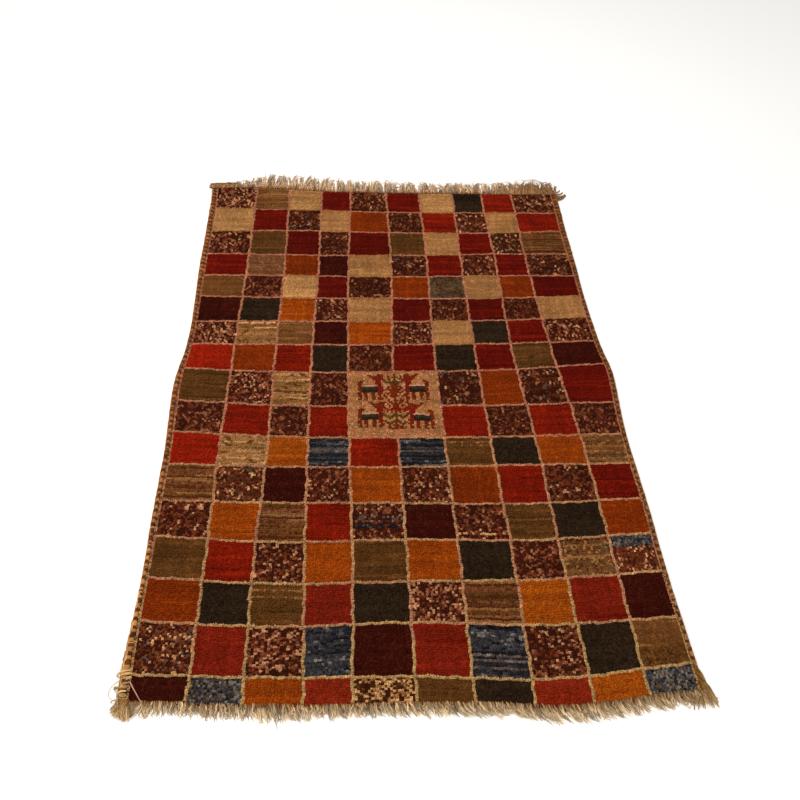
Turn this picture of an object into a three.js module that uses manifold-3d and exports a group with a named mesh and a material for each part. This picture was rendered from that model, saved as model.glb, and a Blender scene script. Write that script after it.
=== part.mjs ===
import * as THREE from "three";
import { mergeVertices } from "three/addons/utils/BufferGeometryUtils.js";
import Module from "manifold-3d";

// A knotted wool rug that lies flat: short pile, a bound cord down each side, a fringe of warp ends at each end.
// Millimetres. X runs across the rug, Y from its near end to its far end, Z up from the floor.

const gap = 0.3;
const pile = { thickness: 10, rimInset: 2.5, rimDrop: 2, rimWidth: 9, cellsAcross: 20, cellsAlong: 36 };
const selvedge = { thickness: 8.6, facets: 8, ringsPerRow: 2, wrapSwell: 0.06 };
const web = { depth: 6, thickness: 4.2 };
const strand = { count: 150, facets: 3, rootRadius: 2.5, tipRadius: 0.8, rootInside: 4 };
const fringeSteps = { far: 2, near: 1 };
const scatter = { seed: 7, shortest: 0.6, tipSway: 1.6, bow: 0.8, thinnest: 0.8 };

// Long low waves in the top of the pile: the way that each runs, its length and its height.
const waves = [
  { across: 0.45, along: 0.9, length: 420, height: 0.35 },
  { across: 0.9, along: -0.45, length: 290, height: 0.2 },
  { across: -0.3, along: 0.95, length: 170, height: 0.2 },
];

// The sides, from the near end to the far end: the rug's outer edges and the widths of the bound cords.
const sides = [
  { y: -760, left: -514, right: 517, leftCord: 14, rightCord: 12 },
  { y: -660, left: -516, right: 515, leftCord: 13, rightCord: 11 },
  { y: -570, left: -514, right: 513, leftCord: 12, rightCord: 11 },
  { y: -480, left: -513, right: 513, leftCord: 12, rightCord: 12 },
  { y: -390, left: -515, right: 515, leftCord: 13, rightCord: 12 },
  { y: -295, left: -515, right: 515, leftCord: 13, rightCord: 13 },
  { y: -200, left: -515, right: 514, leftCord: 13, rightCord: 12 },
  { y: -120, left: -519, right: 517, leftCord: 15, rightCord: 13 },
  { y: -20, left: -523, right: 525, leftCord: 16, rightCord: 14 },
  { y: 40, left: -520, right: 527, leftCord: 14, rightCord: 14 },
  { y: 100, left: -512, right: 520, leftCord: 12, rightCord: 14 },
  { y: 175, left: -508, right: 516, leftCord: 12, rightCord: 13 },
  { y: 250, left: -509, right: 514, leftCord: 13, rightCord: 12 },
  { y: 345, left: -512, right: 514, leftCord: 14, rightCord: 12 },
  { y: 440, left: -515, right: 517, leftCord: 17, rightCord: 15 },
  { y: 530, left: -515, right: 518, leftCord: 18, rightCord: 16 },
  { y: 625, left: -516, right: 519, leftCord: 19, rightCord: 16 },
  { y: 740, left: -518, right: 522, leftCord: 20, rightCord: 17 },
  { y: 800, left: -521, right: 522, leftCord: 20, rightCord: 17 },
];

// The ends, from the left side to the right side: where the pile stops, how far the fringe reaches past it,
// and how far a strand leans to the right for each millimetre that it reaches.
const ends = [
  { x: -521, farEdge: 798, farReach: 34, farLean: -0.2, nearEdge: -752, nearReach: 26, nearLean: -0.45 },
  { x: -430, farEdge: 801, farReach: 46, farLean: 0, nearEdge: -755, nearReach: 26, nearLean: -0.05 },
  { x: -343, farEdge: 800, farReach: 62, farLean: 0.08, nearEdge: -762, nearReach: 24, nearLean: 0.12 },
  { x: -240, farEdge: 792, farReach: 64, farLean: 0.05, nearEdge: -765, nearReach: 33, nearLean: 0.2 },
  { x: -146, farEdge: 784, farReach: 66, farLean: 0, nearEdge: -769, nearReach: 22, nearLean: 0.25 },
  { x: -53, farEdge: 782, farReach: 66, farLean: -0.03, nearEdge: -768, nearReach: 24, nearLean: 0.4 },
  { x: 41, farEdge: 780, farReach: 62, farLean: 0, nearEdge: -770, nearReach: 26, nearLean: 0.7 },
  { x: 146, farEdge: 781, farReach: 60, farLean: 0, nearEdge: -774, nearReach: 26, nearLean: 0.8 },
  { x: 247, farEdge: 780, farReach: 60, farLean: 0.08, nearEdge: -782, nearReach: 32, nearLean: 0.75 },
  { x: 337, farEdge: 779, farReach: 62, farLean: 0.15, nearEdge: -778, nearReach: 30, nearLean: 0.65 },
  { x: 444, farEdge: 779, farReach: 66, farLean: 0.25, nearEdge: -766, nearReach: 26, nearLean: 0.65 },
  { x: 522, farEdge: 779, farReach: 62, farLean: 0.6, nearEdge: -763, nearReach: 22, nearLean: 0.9 },
];

const colours = { pile: "#6e2a17", selvedge: "#6f4a26", fringe: "#b08f66" };

const wasm = await Module();
wasm.setup();
const { lerp, clamp } = THREE.MathUtils;

// A smooth curve through one column of a table, read at a value of its first column.
function curveThrough(table, key, column) {
  const places = table.map((row) => row[key]);
  const values = table.map((row) => row[column]);
  const curve = new THREE.CubicInterpolant(places, values, 1);
  return (at) => curve.evaluate(at)[0];
}

const leftEdge = curveThrough(sides, "y", "left");
const rightEdge = curveThrough(sides, "y", "right");
const leftCord = curveThrough(sides, "y", "leftCord");
const rightCord = curveThrough(sides, "y", "rightCord");
const farEdge = curveThrough(ends, "x", "farEdge");
const nearEdge = curveThrough(ends, "x", "nearEdge");
const pileLeft = (y) => leftEdge(y) + leftCord(y);
const pileRight = (y) => rightEdge(y) - rightCord(y);

// A closed geometry with each corner kept once, moved corner by corner.
function reshaped(geometry, move) {
  geometry.deleteAttribute("normal");
  geometry.deleteAttribute("uv");
  const closed = mergeVertices(geometry);
  const places = closed.attributes.position;
  const corner = new THREE.Vector3();
  for (let i = 0; i < places.count; i += 1) {
    corner.fromBufferAttribute(places, i);
    move(corner);
    places.setXYZ(i, corner.x, corner.y, corner.z);
  }
  return closed;
}

function solidOf(geometry) {
  const vertProperties = geometry.attributes.position.array;
  const triVerts = new Uint32Array(geometry.index.array);
  return new wasm.Manifold(new wasm.Mesh({ numProp: 3, vertProperties, triVerts }));
}

function geometryOf(solid) {
  const { vertProperties, triVerts } = solid.getMesh();
  const geometry = new THREE.BufferGeometry();
  geometry.setAttribute("position", new THREE.BufferAttribute(vertProperties, 3));
  geometry.setIndex(new THREE.BufferAttribute(triVerts, 1));
  return geometry;
}

function named(name, geometry, color) {
  const mesh = new THREE.Mesh(geometry, new THREE.MeshStandardMaterial({ color, roughness: 0.95, metalness: 0 }));
  mesh.name = name;
  return mesh;
}

// How far across or along a line of the pile's grid lies, with the second line close inside the rim.
function lineShare(line, cells, length) {
  const rim = pile.rimWidth / length;
  if (line === 0 || line === cells) {
    return line / cells;
  }
  return lerp(rim, 1 - rim, (line - 1) / (cells - 2));
}

// The place on the floor where a column of the pile's grid crosses one of its rows.
function gridPoint(column, row) {
  const width = rightEdge(0) - leftEdge(0);
  const length = farEdge(0) - nearEdge(0);
  const across = lineShare(column, pile.cellsAcross, width);
  const along = lineShare(row, pile.cellsAlong, length);
  const guideX = (across - 0.5) * width;
  const y = lerp(nearEdge(guideX), farEdge(guideX), along);
  return new THREE.Vector2(lerp(pileLeft(y), pileRight(y), across), y);
}

function pileTop(point) {
  const swell = waves.map((wave) => {
    const turn = (wave.across * point.x + wave.along * point.y) / wave.length;
    return wave.height * Math.sin(2 * Math.PI * turn);
  });
  return pile.thickness + swell.reduce((sum, height) => sum + height, 0);
}

// Which way is inwards from a grid line: 1 from the first, -1 from the last, 0 from one between.
function inwards(line, cells) {
  if (line === 0) {
    return 1;
  }
  return line === cells ? -1 : 0;
}

// The pile: a slab whose four edges follow the tables, with a rounded rim and a gently waving top.
function pileField() {
  const grid = new THREE.BoxGeometry(1, 1, 1, pile.cellsAcross, pile.cellsAlong, 2);
  return reshaped(grid, (corner) => {
    const column = Math.round((corner.x + 0.5) * pile.cellsAcross);
    const row = Math.round((corner.y + 0.5) * pile.cellsAlong);
    const level = corner.z + 0.5;
    const point = gridPoint(column, row);
    const turnX = inwards(column, pile.cellsAcross);
    const turnY = inwards(row, pile.cellsAlong);
    const inset = level === 1 ? pile.rimInset : 0;
    const drop = turnX !== 0 || turnY !== 0 ? pile.rimDrop : 0;
    corner.x = point.x + turnX * inset;
    corner.y = point.y + turnY * inset;
    corner.z = level * (pileTop(point) - drop);
  });
}

// A side cord: a lumpy round binding with a flat underside, laid along one side of the pile.
function sideCord(column, outward, cordWidth) {
  const rings = pile.cellsAlong * selvedge.ringsPerRow;
  const halfFacet = Math.PI / selvedge.facets;
  const flat = Math.cos(halfFacet);
  const tube = new THREE.CylinderGeometry(1, 1, 1, selvedge.facets, rings, false, halfFacet);
  return reshaped(tube, (corner) => {
    const ring = Math.round((corner.y + 0.5) * rings);
    const row = Math.floor(ring / selvedge.ringsPerRow);
    const next = Math.min(row + 1, pile.cellsAlong);
    const rowShare = ring / selvedge.ringsPerRow - row;
    const side = gridPoint(column, row).lerp(gridPoint(column, next), rowShare);
    const halfWidth = (cordWidth(side.y) - gap) / 2;
    const swell = ring % 2 === 0 ? 1 : 1 - selvedge.wrapSwell;
    corner.x = side.x + outward * (gap + halfWidth) + (corner.x / flat) * halfWidth * swell;
    corner.y = side.y;
    corner.z = (corner.z / flat + 1) * 0.5 * selvedge.thickness * swell;
  });
}

// The web: the narrow woven strip past the pile and the side cords, which holds the roots of the strands.
function endWeb(row, outward) {
  const cells = pile.cellsAcross + 2;
  const grid = new THREE.BoxGeometry(1, 1, 1, cells, 1, 1);
  return reshaped(grid, (corner) => {
    const line = Math.round((corner.x + 0.5) * cells);
    const column = clamp(line - 1, 0, pile.cellsAcross);
    const point = gridPoint(column, row);
    const outer = line === 0 ? leftEdge(point.y) : rightEdge(point.y);
    corner.x = line === 0 || line === cells ? outer : point.x;
    corner.y = point.y + outward * (gap + web.depth / 2) + corner.y * web.depth;
    corner.z = (corner.z + 0.5) * web.thickness;
  });
}

// A strand: a tapered three-sided rod laid on one of its sides along a path on the floor.
function layStrand(path, root, steps) {
  const rod = new THREE.CylinderGeometry(strand.tipRadius, root, 1, strand.facets, steps);
  return reshaped(rod, (corner) => {
    const share = corner.y + 0.5;
    const along = path.getTangent(share);
    const point = path.getPoint(share);
    const restHeight = lerp(root, strand.tipRadius, share) * 0.5;
    const across = corner.x;
    corner.x = point.x + along.y * across;
    corner.y = point.y - along.x * across;
    corner.z = corner.z + restHeight;
  });
}

// A fringe: the web of one end with its strands, whose reach and lean come from the table.
function fringe(end, row, outward) {
  const edge = curveThrough(ends, "x", `${end}Edge`);
  const reachAt = curveThrough(ends, "x", `${end}Reach`);
  const leanAt = curveThrough(ends, "x", `${end}Lean`);
  const random = THREE.MathUtils.seededRandom;
  const around = (size) => size * (2 * random() - 1);
  const first = leftEdge(edge(0)) + strand.rootRadius;
  const last = rightEdge(edge(0)) - strand.rootRadius;
  const solids = [solidOf(endWeb(row, outward))];
  for (let i = 0; i < strand.count; i += 1) {
    const x = lerp(first, last, i / (strand.count - 1));
    const rootY = edge(x) + outward * (gap + web.depth - strand.rootInside);
    const reach = reachAt(x) * lerp(scatter.shortest, 1, random()) - web.depth;
    const tipX = x + leanAt(x) * reach + around(scatter.tipSway);
    const tipY = edge(x) + outward * (web.depth + reach);
    const path = new THREE.QuadraticBezierCurve(
      new THREE.Vector2(x, rootY),
      new THREE.Vector2((x + tipX) / 2 + around(scatter.bow), (rootY + tipY) / 2),
      new THREE.Vector2(tipX, tipY),
    );
    const root = strand.rootRadius * lerp(scatter.thinnest, 1, random());
    solids.push(solidOf(layStrand(path, root, fringeSteps[end])));
  }
  return geometryOf(wasm.Manifold.union(solids));
}

THREE.MathUtils.seededRandom(scatter.seed);
const rug = new THREE.Group();
rug.add(
  named("pile_field", pileField(), colours.pile),
  named("selvedge_left", sideCord(0, -1, leftCord), colours.selvedge),
  named("selvedge_right", sideCord(pile.cellsAcross, 1, rightCord), colours.selvedge),
  named("fringe_far", fringe("far", pile.cellsAlong, 1), colours.fringe),
  named("fringe_near", fringe("near", 0, -1), colours.fringe),
);

// The origin is on the floor under the middle of the whole rug.
const middle = new THREE.Box3().setFromObject(rug).getCenter(new THREE.Vector3());
rug.position.set(-middle.x, -middle.y, 0);

export default rug;
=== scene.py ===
import bpy
import numpy as np
from mathutils import Matrix, Vector


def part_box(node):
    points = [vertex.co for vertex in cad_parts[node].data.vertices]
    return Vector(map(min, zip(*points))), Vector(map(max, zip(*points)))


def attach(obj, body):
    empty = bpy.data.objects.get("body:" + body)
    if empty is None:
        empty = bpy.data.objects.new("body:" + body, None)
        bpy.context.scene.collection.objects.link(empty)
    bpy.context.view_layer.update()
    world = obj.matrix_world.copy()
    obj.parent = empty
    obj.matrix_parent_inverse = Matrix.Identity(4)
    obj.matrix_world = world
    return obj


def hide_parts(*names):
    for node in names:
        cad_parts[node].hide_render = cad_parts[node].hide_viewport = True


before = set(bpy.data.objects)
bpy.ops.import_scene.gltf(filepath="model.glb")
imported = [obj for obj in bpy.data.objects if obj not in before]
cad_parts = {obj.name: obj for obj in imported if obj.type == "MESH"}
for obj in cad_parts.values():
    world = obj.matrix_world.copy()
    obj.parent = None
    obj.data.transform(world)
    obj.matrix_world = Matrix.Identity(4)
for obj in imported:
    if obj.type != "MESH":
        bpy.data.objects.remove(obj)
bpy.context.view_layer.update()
print("frame loaded:", sorted(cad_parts))

# Millimetres measured on the rug: x across it, y from its near end to its far end, z up from the floor.
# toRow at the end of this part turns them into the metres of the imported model.
rug = {
    # y, left outer edge, right outer edge, width of the left cord, width of the right cord
    "sides": [
        (-760, -514, 517, 14, 12), (-660, -516, 515, 13, 11), (-570, -514, 513, 12, 11),
        (-480, -513, 513, 12, 12), (-390, -515, 515, 13, 12), (-295, -515, 515, 13, 13),
        (-200, -515, 514, 13, 12), (-120, -519, 517, 15, 13), (-20, -523, 525, 16, 14),
        (40, -520, 527, 14, 14), (100, -512, 520, 12, 14), (175, -508, 516, 12, 13),
        (250, -509, 514, 13, 12), (345, -512, 514, 14, 12), (440, -515, 517, 17, 15),
        (530, -515, 518, 18, 16), (625, -516, 519, 19, 16), (740, -518, 522, 20, 17),
        (800, -521, 522, 20, 17),
    ],
    # x, far edge of the pile, reach and lean of its fringe, near edge, reach and lean of its fringe
    "ends": [
        (-521, 798, 24, -0.1, -752, 26, -0.45), (-430, 801, 42, 0, -755, 26, -0.05),
        (-343, 800, 68, 0.08, -762, 24, 0.12), (-240, 792, 68, 0.05, -765, 33, 0.2),
        (-146, 784, 64, 0, -769, 22, 0.25), (-53, 782, 60, -0.03, -768, 24, 0.4),
        (41, 780, 58, 0, -770, 26, 0.7), (146, 781, 54, 0, -774, 26, 0.8),
        (247, 780, 56, 0.08, -782, 32, 0.75), (337, 779, 60, 0.12, -778, 30, 0.65),
        (444, 779, 67, 0.1, -766, 26, 0.65), (522, 779, 59, 0.18, -763, 22, 0.9),
    ],
    "gap": 0.3,  # between the pile and its cords and webs
    # y, share of the left cord and of the right cord that shows: the last knots lie over the rest
    "shows": [
        (-640, 0.92, 0.62), (-575, 0.74, 0.64), (300, 0.72, 0.7), (520, 0.72, 0.85), (800, 0.66, 0.88),
    ],
    # the long low waves of the upper face: across, along, length, height
    "waves": [(0.45, 0.9, 420, 0.35), (0.9, -0.45, 290, 0.2), (-0.3, 0.95, 170, 0.2)],
}


# A smooth curve through the values of one column, held level past its ends.
def curveThrough(places, values):
    places = np.asarray(places, float)
    values = np.asarray(values, float)
    slopes = np.empty_like(values)
    slopes[1:-1] = (values[2:] - values[:-2]) / (places[2:] - places[:-2])
    slopes[0] = (values[1] - values[0]) / (places[1] - places[0])
    slopes[-1] = (values[-1] - values[-2]) / (places[-1] - places[-2])

    def read(at):
        at = np.clip(np.asarray(at, float), places[0], places[-1])
        i = np.clip(np.searchsorted(places, at, side="right") - 1, 0, len(places) - 2)
        step = places[i + 1] - places[i]
        t = (at - places[i]) / step
        rise = (2 * t**3 - 3 * t**2 + 1) * values[i] + (3 * t**2 - 2 * t**3) * values[i + 1]
        turn = (t**3 - 2 * t**2 + t) * slopes[i] + (t**3 - t**2) * slopes[i + 1]
        return rise + turn * step

    return read


sideTable = np.array(rug["sides"], float).T
endTable = np.array(rug["ends"], float).T
showTable = np.array(rug["shows"], float).T
leftEdge, rightEdge, leftCord, rightCord = (curveThrough(sideTable[0], c) for c in sideTable[1:])
farEdge, farReach, farLean, nearEdge, nearReach, nearLean = (
    curveThrough(endTable[0], c) for c in endTable[1:]
)


def pileLeft(y):
    return leftEdge(y) + leftCord(y) * np.interp(y, showTable[0], showTable[1])


def pileRight(y):
    return rightEdge(y) - rightCord(y) * np.interp(y, showTable[0], showTable[2])


def swell(x, y):
    total = 0
    for across, along, length, height in rug["waves"]:
        total = total + height * np.sin(2 * np.pi * (across * x + along * y) / length)
    return total


pileLow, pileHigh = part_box("pile_field")
everyY = np.linspace(-770, 795, 400)
everyX = np.linspace(-500, 500, 400)
middleX = (pileLeft(everyY).min() + pileRight(everyY).max()) / 2
middleY = (nearEdge(everyX).min() + farEdge(everyX).max()) / 2
shift = np.array([
    (pileLow.x + pileHigh.x) * 500 - middleX,
    (pileLow.y + pileHigh.y) * 500 - middleY,
    0.0,
])
print("shift to the row, mm:", np.round(shift, 2))


def toRow(points):
    return (np.asarray(points, float) + shift) / 1000


# The design: ten squares across and seventeen along, parted by pale lines, each in one wool or mix.
design = {
    "columnStations": [-741, -478, -201, 89, 441, 743],
    "columnLines": [
        [-398, -397, -398, -394, -387, -386],
        [-302, -303, -294, -293, -287, -289],
        [-198, -204, -206, -205, -195, -193],
        [-112, -110, -115, -116, -114, -107],
        [0, -2, -6, -8, 2, 0],
        [102, 102, 98, 95, 101, 99],
        [208, 209, 202, 197, 196, 200],
        [313, 307, 304, 290, 292, 288],
        [413, 412, 408, 390, 379, 381],
    ],
    "rowStations": [-500, -250, 0, 250, 500],
    "rowLines": [
        [694, 687, 680, 680, 681], [585, 588, 580, 581, 593], [483, 477, 476, 483, 487],
        [390, 388, 384, 389, 390], [305, 297, 296, 297, 306], [209, 208, 206, 211, 224],
        [129, 124, 122, 125, 135], [45, 30, 29, 34, 54], [-58, -77, -78, -80, -72],
        [-150, -169, -174, -174, -169], [-240, -252, -256, -254, -252],
        [-333, -345, -350, -356, -346], [-420, -439, -438, -445, -432],
        [-512, -532, -532, -534, -521], [-602, -620, -617, -629, -619],
        [-702, -716, -721, -732, -710],
    ],
    "columnLineWidth": 5.6,
    "sideLineWidth": 5.2,
    "sideDash": 17.0,
    "rowLineWidth": 5.2,
    "waver": 1.5,
    "knot": 4.7,
    "brighter": 1.22,  # makes up for the shade between the tufts
    # spreads of tone: from row to row, slowly over a square, from knot to knot
    "rowTone": 0.05, "slowTone": 0.06, "knotTone": 0.06, "knotMean": 0.96,
    # the pale lines: how far below the middle their rose fades out, where gold alone begins and over what
    # length, the spread of their tone, and the share and tone of their darker knots
    "roseFades": 560, "goldFrom": -620, "goldOver": 60, "lineTone": 0.12, "lineDark": (0.09, 0.74),
    "block": (4, 8),  # column and row of the first of the middle block's four squares
    "seed": 11,
    # from the far end to the near end, one letter for each square
    "chart": [
        "OiAdsdAcrh", "AdSbuSrybr", "svEzEvbdGj", "dtumbSdsdS", "kDAEzuqbuE", "mcosbEDEDb",
        "hWimosbcds", "RurcDdcdvm", "vhTDMMSuSd", "DrDrMMrDrD", "RTgnrnVcoU", "jxmsosuryd",
        "yojrNmLvcu", "vrsovocDKB", "ucVQchjgQm", "eQhamQPscH", "mfoFwvcFgf",
    ],
}

# Wool colours, red, green and blue out of 255, matched to the photo.
wools = {
    "beige": (152, 104, 60), "beigeLight": (168, 120, 71),
    "red": (117, 23, 6), "redBright": (134, 26, 7), "redDark": (94, 15, 4), "redDeep": (81, 13, 3),
    # The soft and near reds on the next line are the red wool with painted sheen, paler and softer, for the
    # squares of the near rows.
    "redSoftSheen": (123, 34, 14), "redNearSheen": (112, 27, 11),
    "maroon": (52, 12, 4), "rust": (116, 41, 5), "orange": (137, 57, 8), "gold": (147, 68, 11),
    "olive": (83, 50, 20), "oliveDark": (62, 37, 14), "khaki": (100, 60, 27), "khakiPale": (132, 89, 50),
    "charcoal": (40, 27, 16), "navy": (28, 26, 29), "denim": (52, 49, 51), "denimPale": (99, 90, 82),
    "tan": (144, 98, 54), "cream": (192, 144, 94), "taupe": (108, 67, 39),
    "plum": (56, 21, 11), "brown": (80, 38, 18), "brick": (104, 43, 22), "roseBrown": (108, 58, 36),
    "rose": (142, 88, 58), "creamRose": (178, 126, 88), "slate": (80, 65, 56), "green": (48, 42, 23),
    "greyGreen": (84, 64, 42),
    "lineFar": (166, 106, 77), "lineGold": (168, 131, 83), "lineRose": (164, 108, 80),
    "motifRose": (158, 99, 61), "motifPale": (182, 128, 96), "stem": (100, 36, 12), "leaf": (78, 50, 18),
    "body": (50, 44, 35), "flower": (110, 26, 12),
}

# How each letter is knotted: its ground, then streaks (wool, share of the rows, knots long)
# and flecks (wool, share of the knots). Wide is the share of the flecks that spread across the rug, rows the
# change of tone from row to row, grain that from knot to knot. A band has its own ground and flecks, between
# two shares of the square's height.
speckle = [("brown", 0.24), ("brick", 0.13), ("roseBrown", 0.17), ("rose", 0.1), ("creamRose", 0.045)]
speckleDark = [("brown", 0.3), ("brick", 0.1), ("roseBrown", 0.15), ("rose", 0.05)]
speckleLight = [
    ("brick", 0.24), ("roseBrown", 0.2), ("brown", 0.12), ("rose", 0.15), ("creamRose", 0.09),
]
mixes = {
    "b": {"ground": "beige", "streaks": [("beigeLight", 0.1, 22)]},
    "A": {"ground": "beigeLight", "streaks": [("beige", 0.16, 22)]},
    "r": {"ground": "red", "streaks": [("redDark", 0.2, 16), ("redBright", 0.08, 12)]},
    "R": {"ground": "redBright", "streaks": [("red", 0.2, 16)]},
    # Q and F: the near rows' red with painted sheen in their grounds.
    "Q": {"ground": "redNearSheen", "streaks": [("redDark", 0.1, 16)], "grain": 0.06},
    "F": {"ground": "redSoftSheen", "streaks": [("red", 0.12, 14)], "grain": 0.08},
    "d": {"ground": "redDark", "rows": 0.12, "streaks": [("red", 0.26, 16), ("redDeep", 0.28, 16)]},
    "E": {"ground": "redDeep", "rows": 0.1, "streaks": [("redDark", 0.26, 16), ("maroon", 0.2, 14)]},
    "m": {"ground": "maroon", "flecks": [("plum", 0.2)]},
    "u": {"ground": "rust", "streaks": [("orange", 0.1, 12)]},
    "o": {"ground": "orange", "streaks": [("rust", 0.16, 10), ("gold", 0.14, 10)]},
    "g": {"ground": "gold", "streaks": [("orange", 0.25, 10)]},
    "v": {"ground": "olive", "rows": 0.12, "streaks": [("oliveDark", 0.36, 18), ("khaki", 0.34, 16)]},
    "V": {
        "ground": "olive", "streaks": [("khaki", 0.4, 16), ("oliveDark", 0.15, 12)],
        "bands": [(0.1, 0.14, "khaki", [("khakiPale", 0.4)]), (0.27, 0.31, "khaki", [("khakiPale", 0.4)])],
    },
    "i": {"ground": "khaki", "streaks": [("taupe", 0.2, 18), ("khakiPale", 0.6, 22)]},
    "k": {"ground": "khaki", "streaks": [("khakiPale", 0.1, 16), ("olive", 0.2, 14)]},
    "j": {
        "ground": "khaki", "grain": 0.1,
        "streaks": [("tan", 0.35, 26), ("khakiPale", 0.3, 26), ("olive", 0.12, 20)],
        "bands": [
            (0.05, 0.11, "brown", [("khaki", 0.2)]), (0.19, 0.25, "roseBrown", [("brown", 0.3)]),
            (0.33, 0.39, "brown", [("oliveDark", 0.3)]), (0.47, 0.52, "taupe", [("brown", 0.3)]),
            (0.6, 0.66, "brown", [("khaki", 0.2)]), (0.74, 0.8, "roseBrown", [("brown", 0.35)]),
            (0.87, 0.93, "brown", [("oliveDark", 0.3)]),
        ],
    },
    "c": {"ground": "charcoal", "grain": 0.16},
    "n": {
        "ground": "navy", "wide": 0.5, "grain": 0.2,
        "streaks": [("denim", 0.3, 24), ("denimPale", 0.16, 16)], "flecks": [("denim", 0.12)],
        "bands": [
            (0.14, 0.2, "denim", [("denimPale", 0.35)]), (0.3, 0.36, "denim", [("slate", 0.4)]),
            (0.46, 0.53, "slate", [("denimPale", 0.35), ("denim", 0.2)]),
            (0.66, 0.72, "denim", [("slate", 0.3)]), (0.82, 0.9, "denim", [("denimPale", 0.35)]),
        ],
    },
    "a": {
        "ground": "denim", "wide": 0.5, "rows": 0.3, "grain": 0.26,
        "streaks": [("navy", 0.3, 16)], "flecks": [("denimPale", 0.15), ("navy", 0.1)],
    },
    "f": {
        "ground": "denim", "grain": 0.3,
        "flecks": [("navy", 0.22), ("denimPale", 0.4), ("slate", 0.2), ("greyGreen", 0.06)],
    },
    "t": {
        "ground": "taupe", "streaks": [("khaki", 0.3, 14), ("roseBrown", 0.25, 12), ("tan", 0.16, 10)],
        "flecks": [("khakiPale", 0.08)],
    },
    "U": {
        "ground": "khaki", "wide": 0.5, "rows": 0.14, "grain": 0.12,
        "streaks": [("khakiPale", 0.35, 20), ("greyGreen", 0.2, 16)], "flecks": [("khakiPale", 0.12)],
    },
    "T": {
        "ground": "tan", "wide": 0.6,
        "streaks": [("cream", 0.5, 34), ("khakiPale", 0.2, 30), ("khaki", 0.28, 30), ("olive", 0.08, 26)],
        "flecks": [("khakiPale", 0.16), ("khaki", 0.1), ("olive", 0.05)],
    },
    "W": {
        "ground": "khakiPale", "streaks": [("tan", 0.2, 30), ("khaki", 0.5, 24), ("cream", 0.04, 20)],
        "flecks": [("khaki", 0.14)],
    },
    "s": {"ground": "plum", "flecks": speckle},
    "D": {"ground": "plum", "flecks": speckleDark},
    "h": {"ground": "plum", "flecks": speckleLight},
    "O": {
        "ground": "plum",
        "flecks": [("brick", 0.3), ("roseBrown", 0.24), ("rose", 0.22), ("creamRose", 0.13)],
    },
    "e": {
        "ground": "plum",
        "flecks": [
            *speckleDark, ("slate", 0.02), ("greyGreen", 0.03), ("khaki", 0.06), ("creamRose", 0.05),
            ("cream", 0.012),
        ],
    },
    "S": {
        "ground": "plum", "streaks": [("brown", 0.3, 12)],
        "flecks": [
            ("brown", 0.2), ("roseBrown", 0.13), ("slate", 0.03), ("rose", 0.05), ("creamRose", 0.02),
        ],
    },
    "x": {
        "ground": "brown",
        "flecks": [("plum", 0.4), ("brick", 0.12), ("rose", 0.12), ("cream", 0.05), ("greyGreen", 0.08)],
    },
    "y": {
        "ground": "plum",
        "flecks": [("brick", 0.26), ("brown", 0.22), ("roseBrown", 0.24), ("creamRose", 0.08)],
    },
    "z": {
        "ground": "plum", "flecks": [("brown", 0.25), ("rose", 0.08), ("roseBrown", 0.1)],
        "bands": [(0.35, 0.8, "plum", [("roseBrown", 0.2), ("brown", 0.25)])],
    },
    "G": {"ground": "plum", "flecks": [("green", 0.25), ("rose", 0.12), ("brown", 0.2), ("cream", 0.05)]},
    "q": {
        "ground": "greyGreen", "streaks": [("slate", 0.2, 9), ("green", 0.16, 9), ("brown", 0.24, 9)],
        "flecks": [("brown", 0.15), ("green", 0.12)],
    },
    "w": {
        "ground": "plum", "flecks": [("khaki", 0.34), ("tan", 0.3), ("cream", 0.34), ("oliveDark", 0.22)],
    },
    "N": {
        "ground": "plum", "flecks": speckle,
        "bands": [
            (0.36, 0.5, "plum", [("slate", 0.3), ("denimPale", 0.14)]),
            (0.54, 0.68, "navy", [("plum", 0.4), ("brown", 0.14), ("slate", 0.1)]),
        ],
    },
    "L": {
        "ground": "plum", "flecks": speckle,
        "bands": [(0.8, 0.87, "brick", [("cream", 0.5)])],
    },
    "K": {
        "ground": "khaki", "flecks": [("greyGreen", 0.3), ("tan", 0.2), ("brown", 0.15), ("olive", 0.1)],
        "bands": [
            (0.0, 0.06, "plum", [("khaki", 0.3)]), (0.16, 0.21, "khakiPale", [("khaki", 0.3)]),
            (0.45, 0.5, "tan", [("khakiPale", 0.3)]),
        ],
    },
    "B": {
        "ground": "brown", "flecks": [("brick", 0.28), ("rose", 0.14), ("plum", 0.24), ("cream", 0.05)],
        "bands": [(0.0, 0.34, "denim", [("navy", 0.25), ("denimPale", 0.2), ("slate", 0.2)])],
    },
    "H": {
        "ground": "khaki", "streaks": [("khakiPale", 0.3, 14)],
        "bands": [(0.55, 1.0, "olive", [("khaki", 0.25), ("oliveDark", 0.15)])],
    },
    "P": {
        "ground": "denim", "wide": 0.5, "rows": 0.24, "grain": 0.26,
        "flecks": [("slate", 0.14), ("denimPale", 0.18), ("navy", 0.08)],
        "bands": [
            (0.0, 0.1, "navy", [("denim", 0.3)]), (0.52, 0.94, "navy", [("denim", 0.25)]),
            (0.56, 0.6, "slate", [("denimPale", 0.3)]), (0.67, 0.71, "slate", [("denimPale", 0.4)]),
            (0.8, 0.84, "slate", [("denim", 0.3)]),
        ],
    },
}

# One horned animal, looking right: o rust, g green, k dark, r red, p pale, a dot for the ground.
animal = [
    ".....oo...ooo.",
    "......ooooooo.",
    ".......oorrro.",
    "........rrrrrr",
    ".oo......rrr.r",
    "ooo......rrr..",
    "oo.......rrr..",
    "oopppppppprr..",
    "ooggggggggrr..",
    "oogggggggkrr..",
    "ookkkkkkkkrr..",
    ".okkkkkkkkrr..",
    "oo.oo..oo.oo..",
    "oo.oo..oo.oo..",
    "oo.oo..oo..o..",
    ".o..o..oo.oo..",
    "oo.oo..oo.oo..",
]
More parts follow.
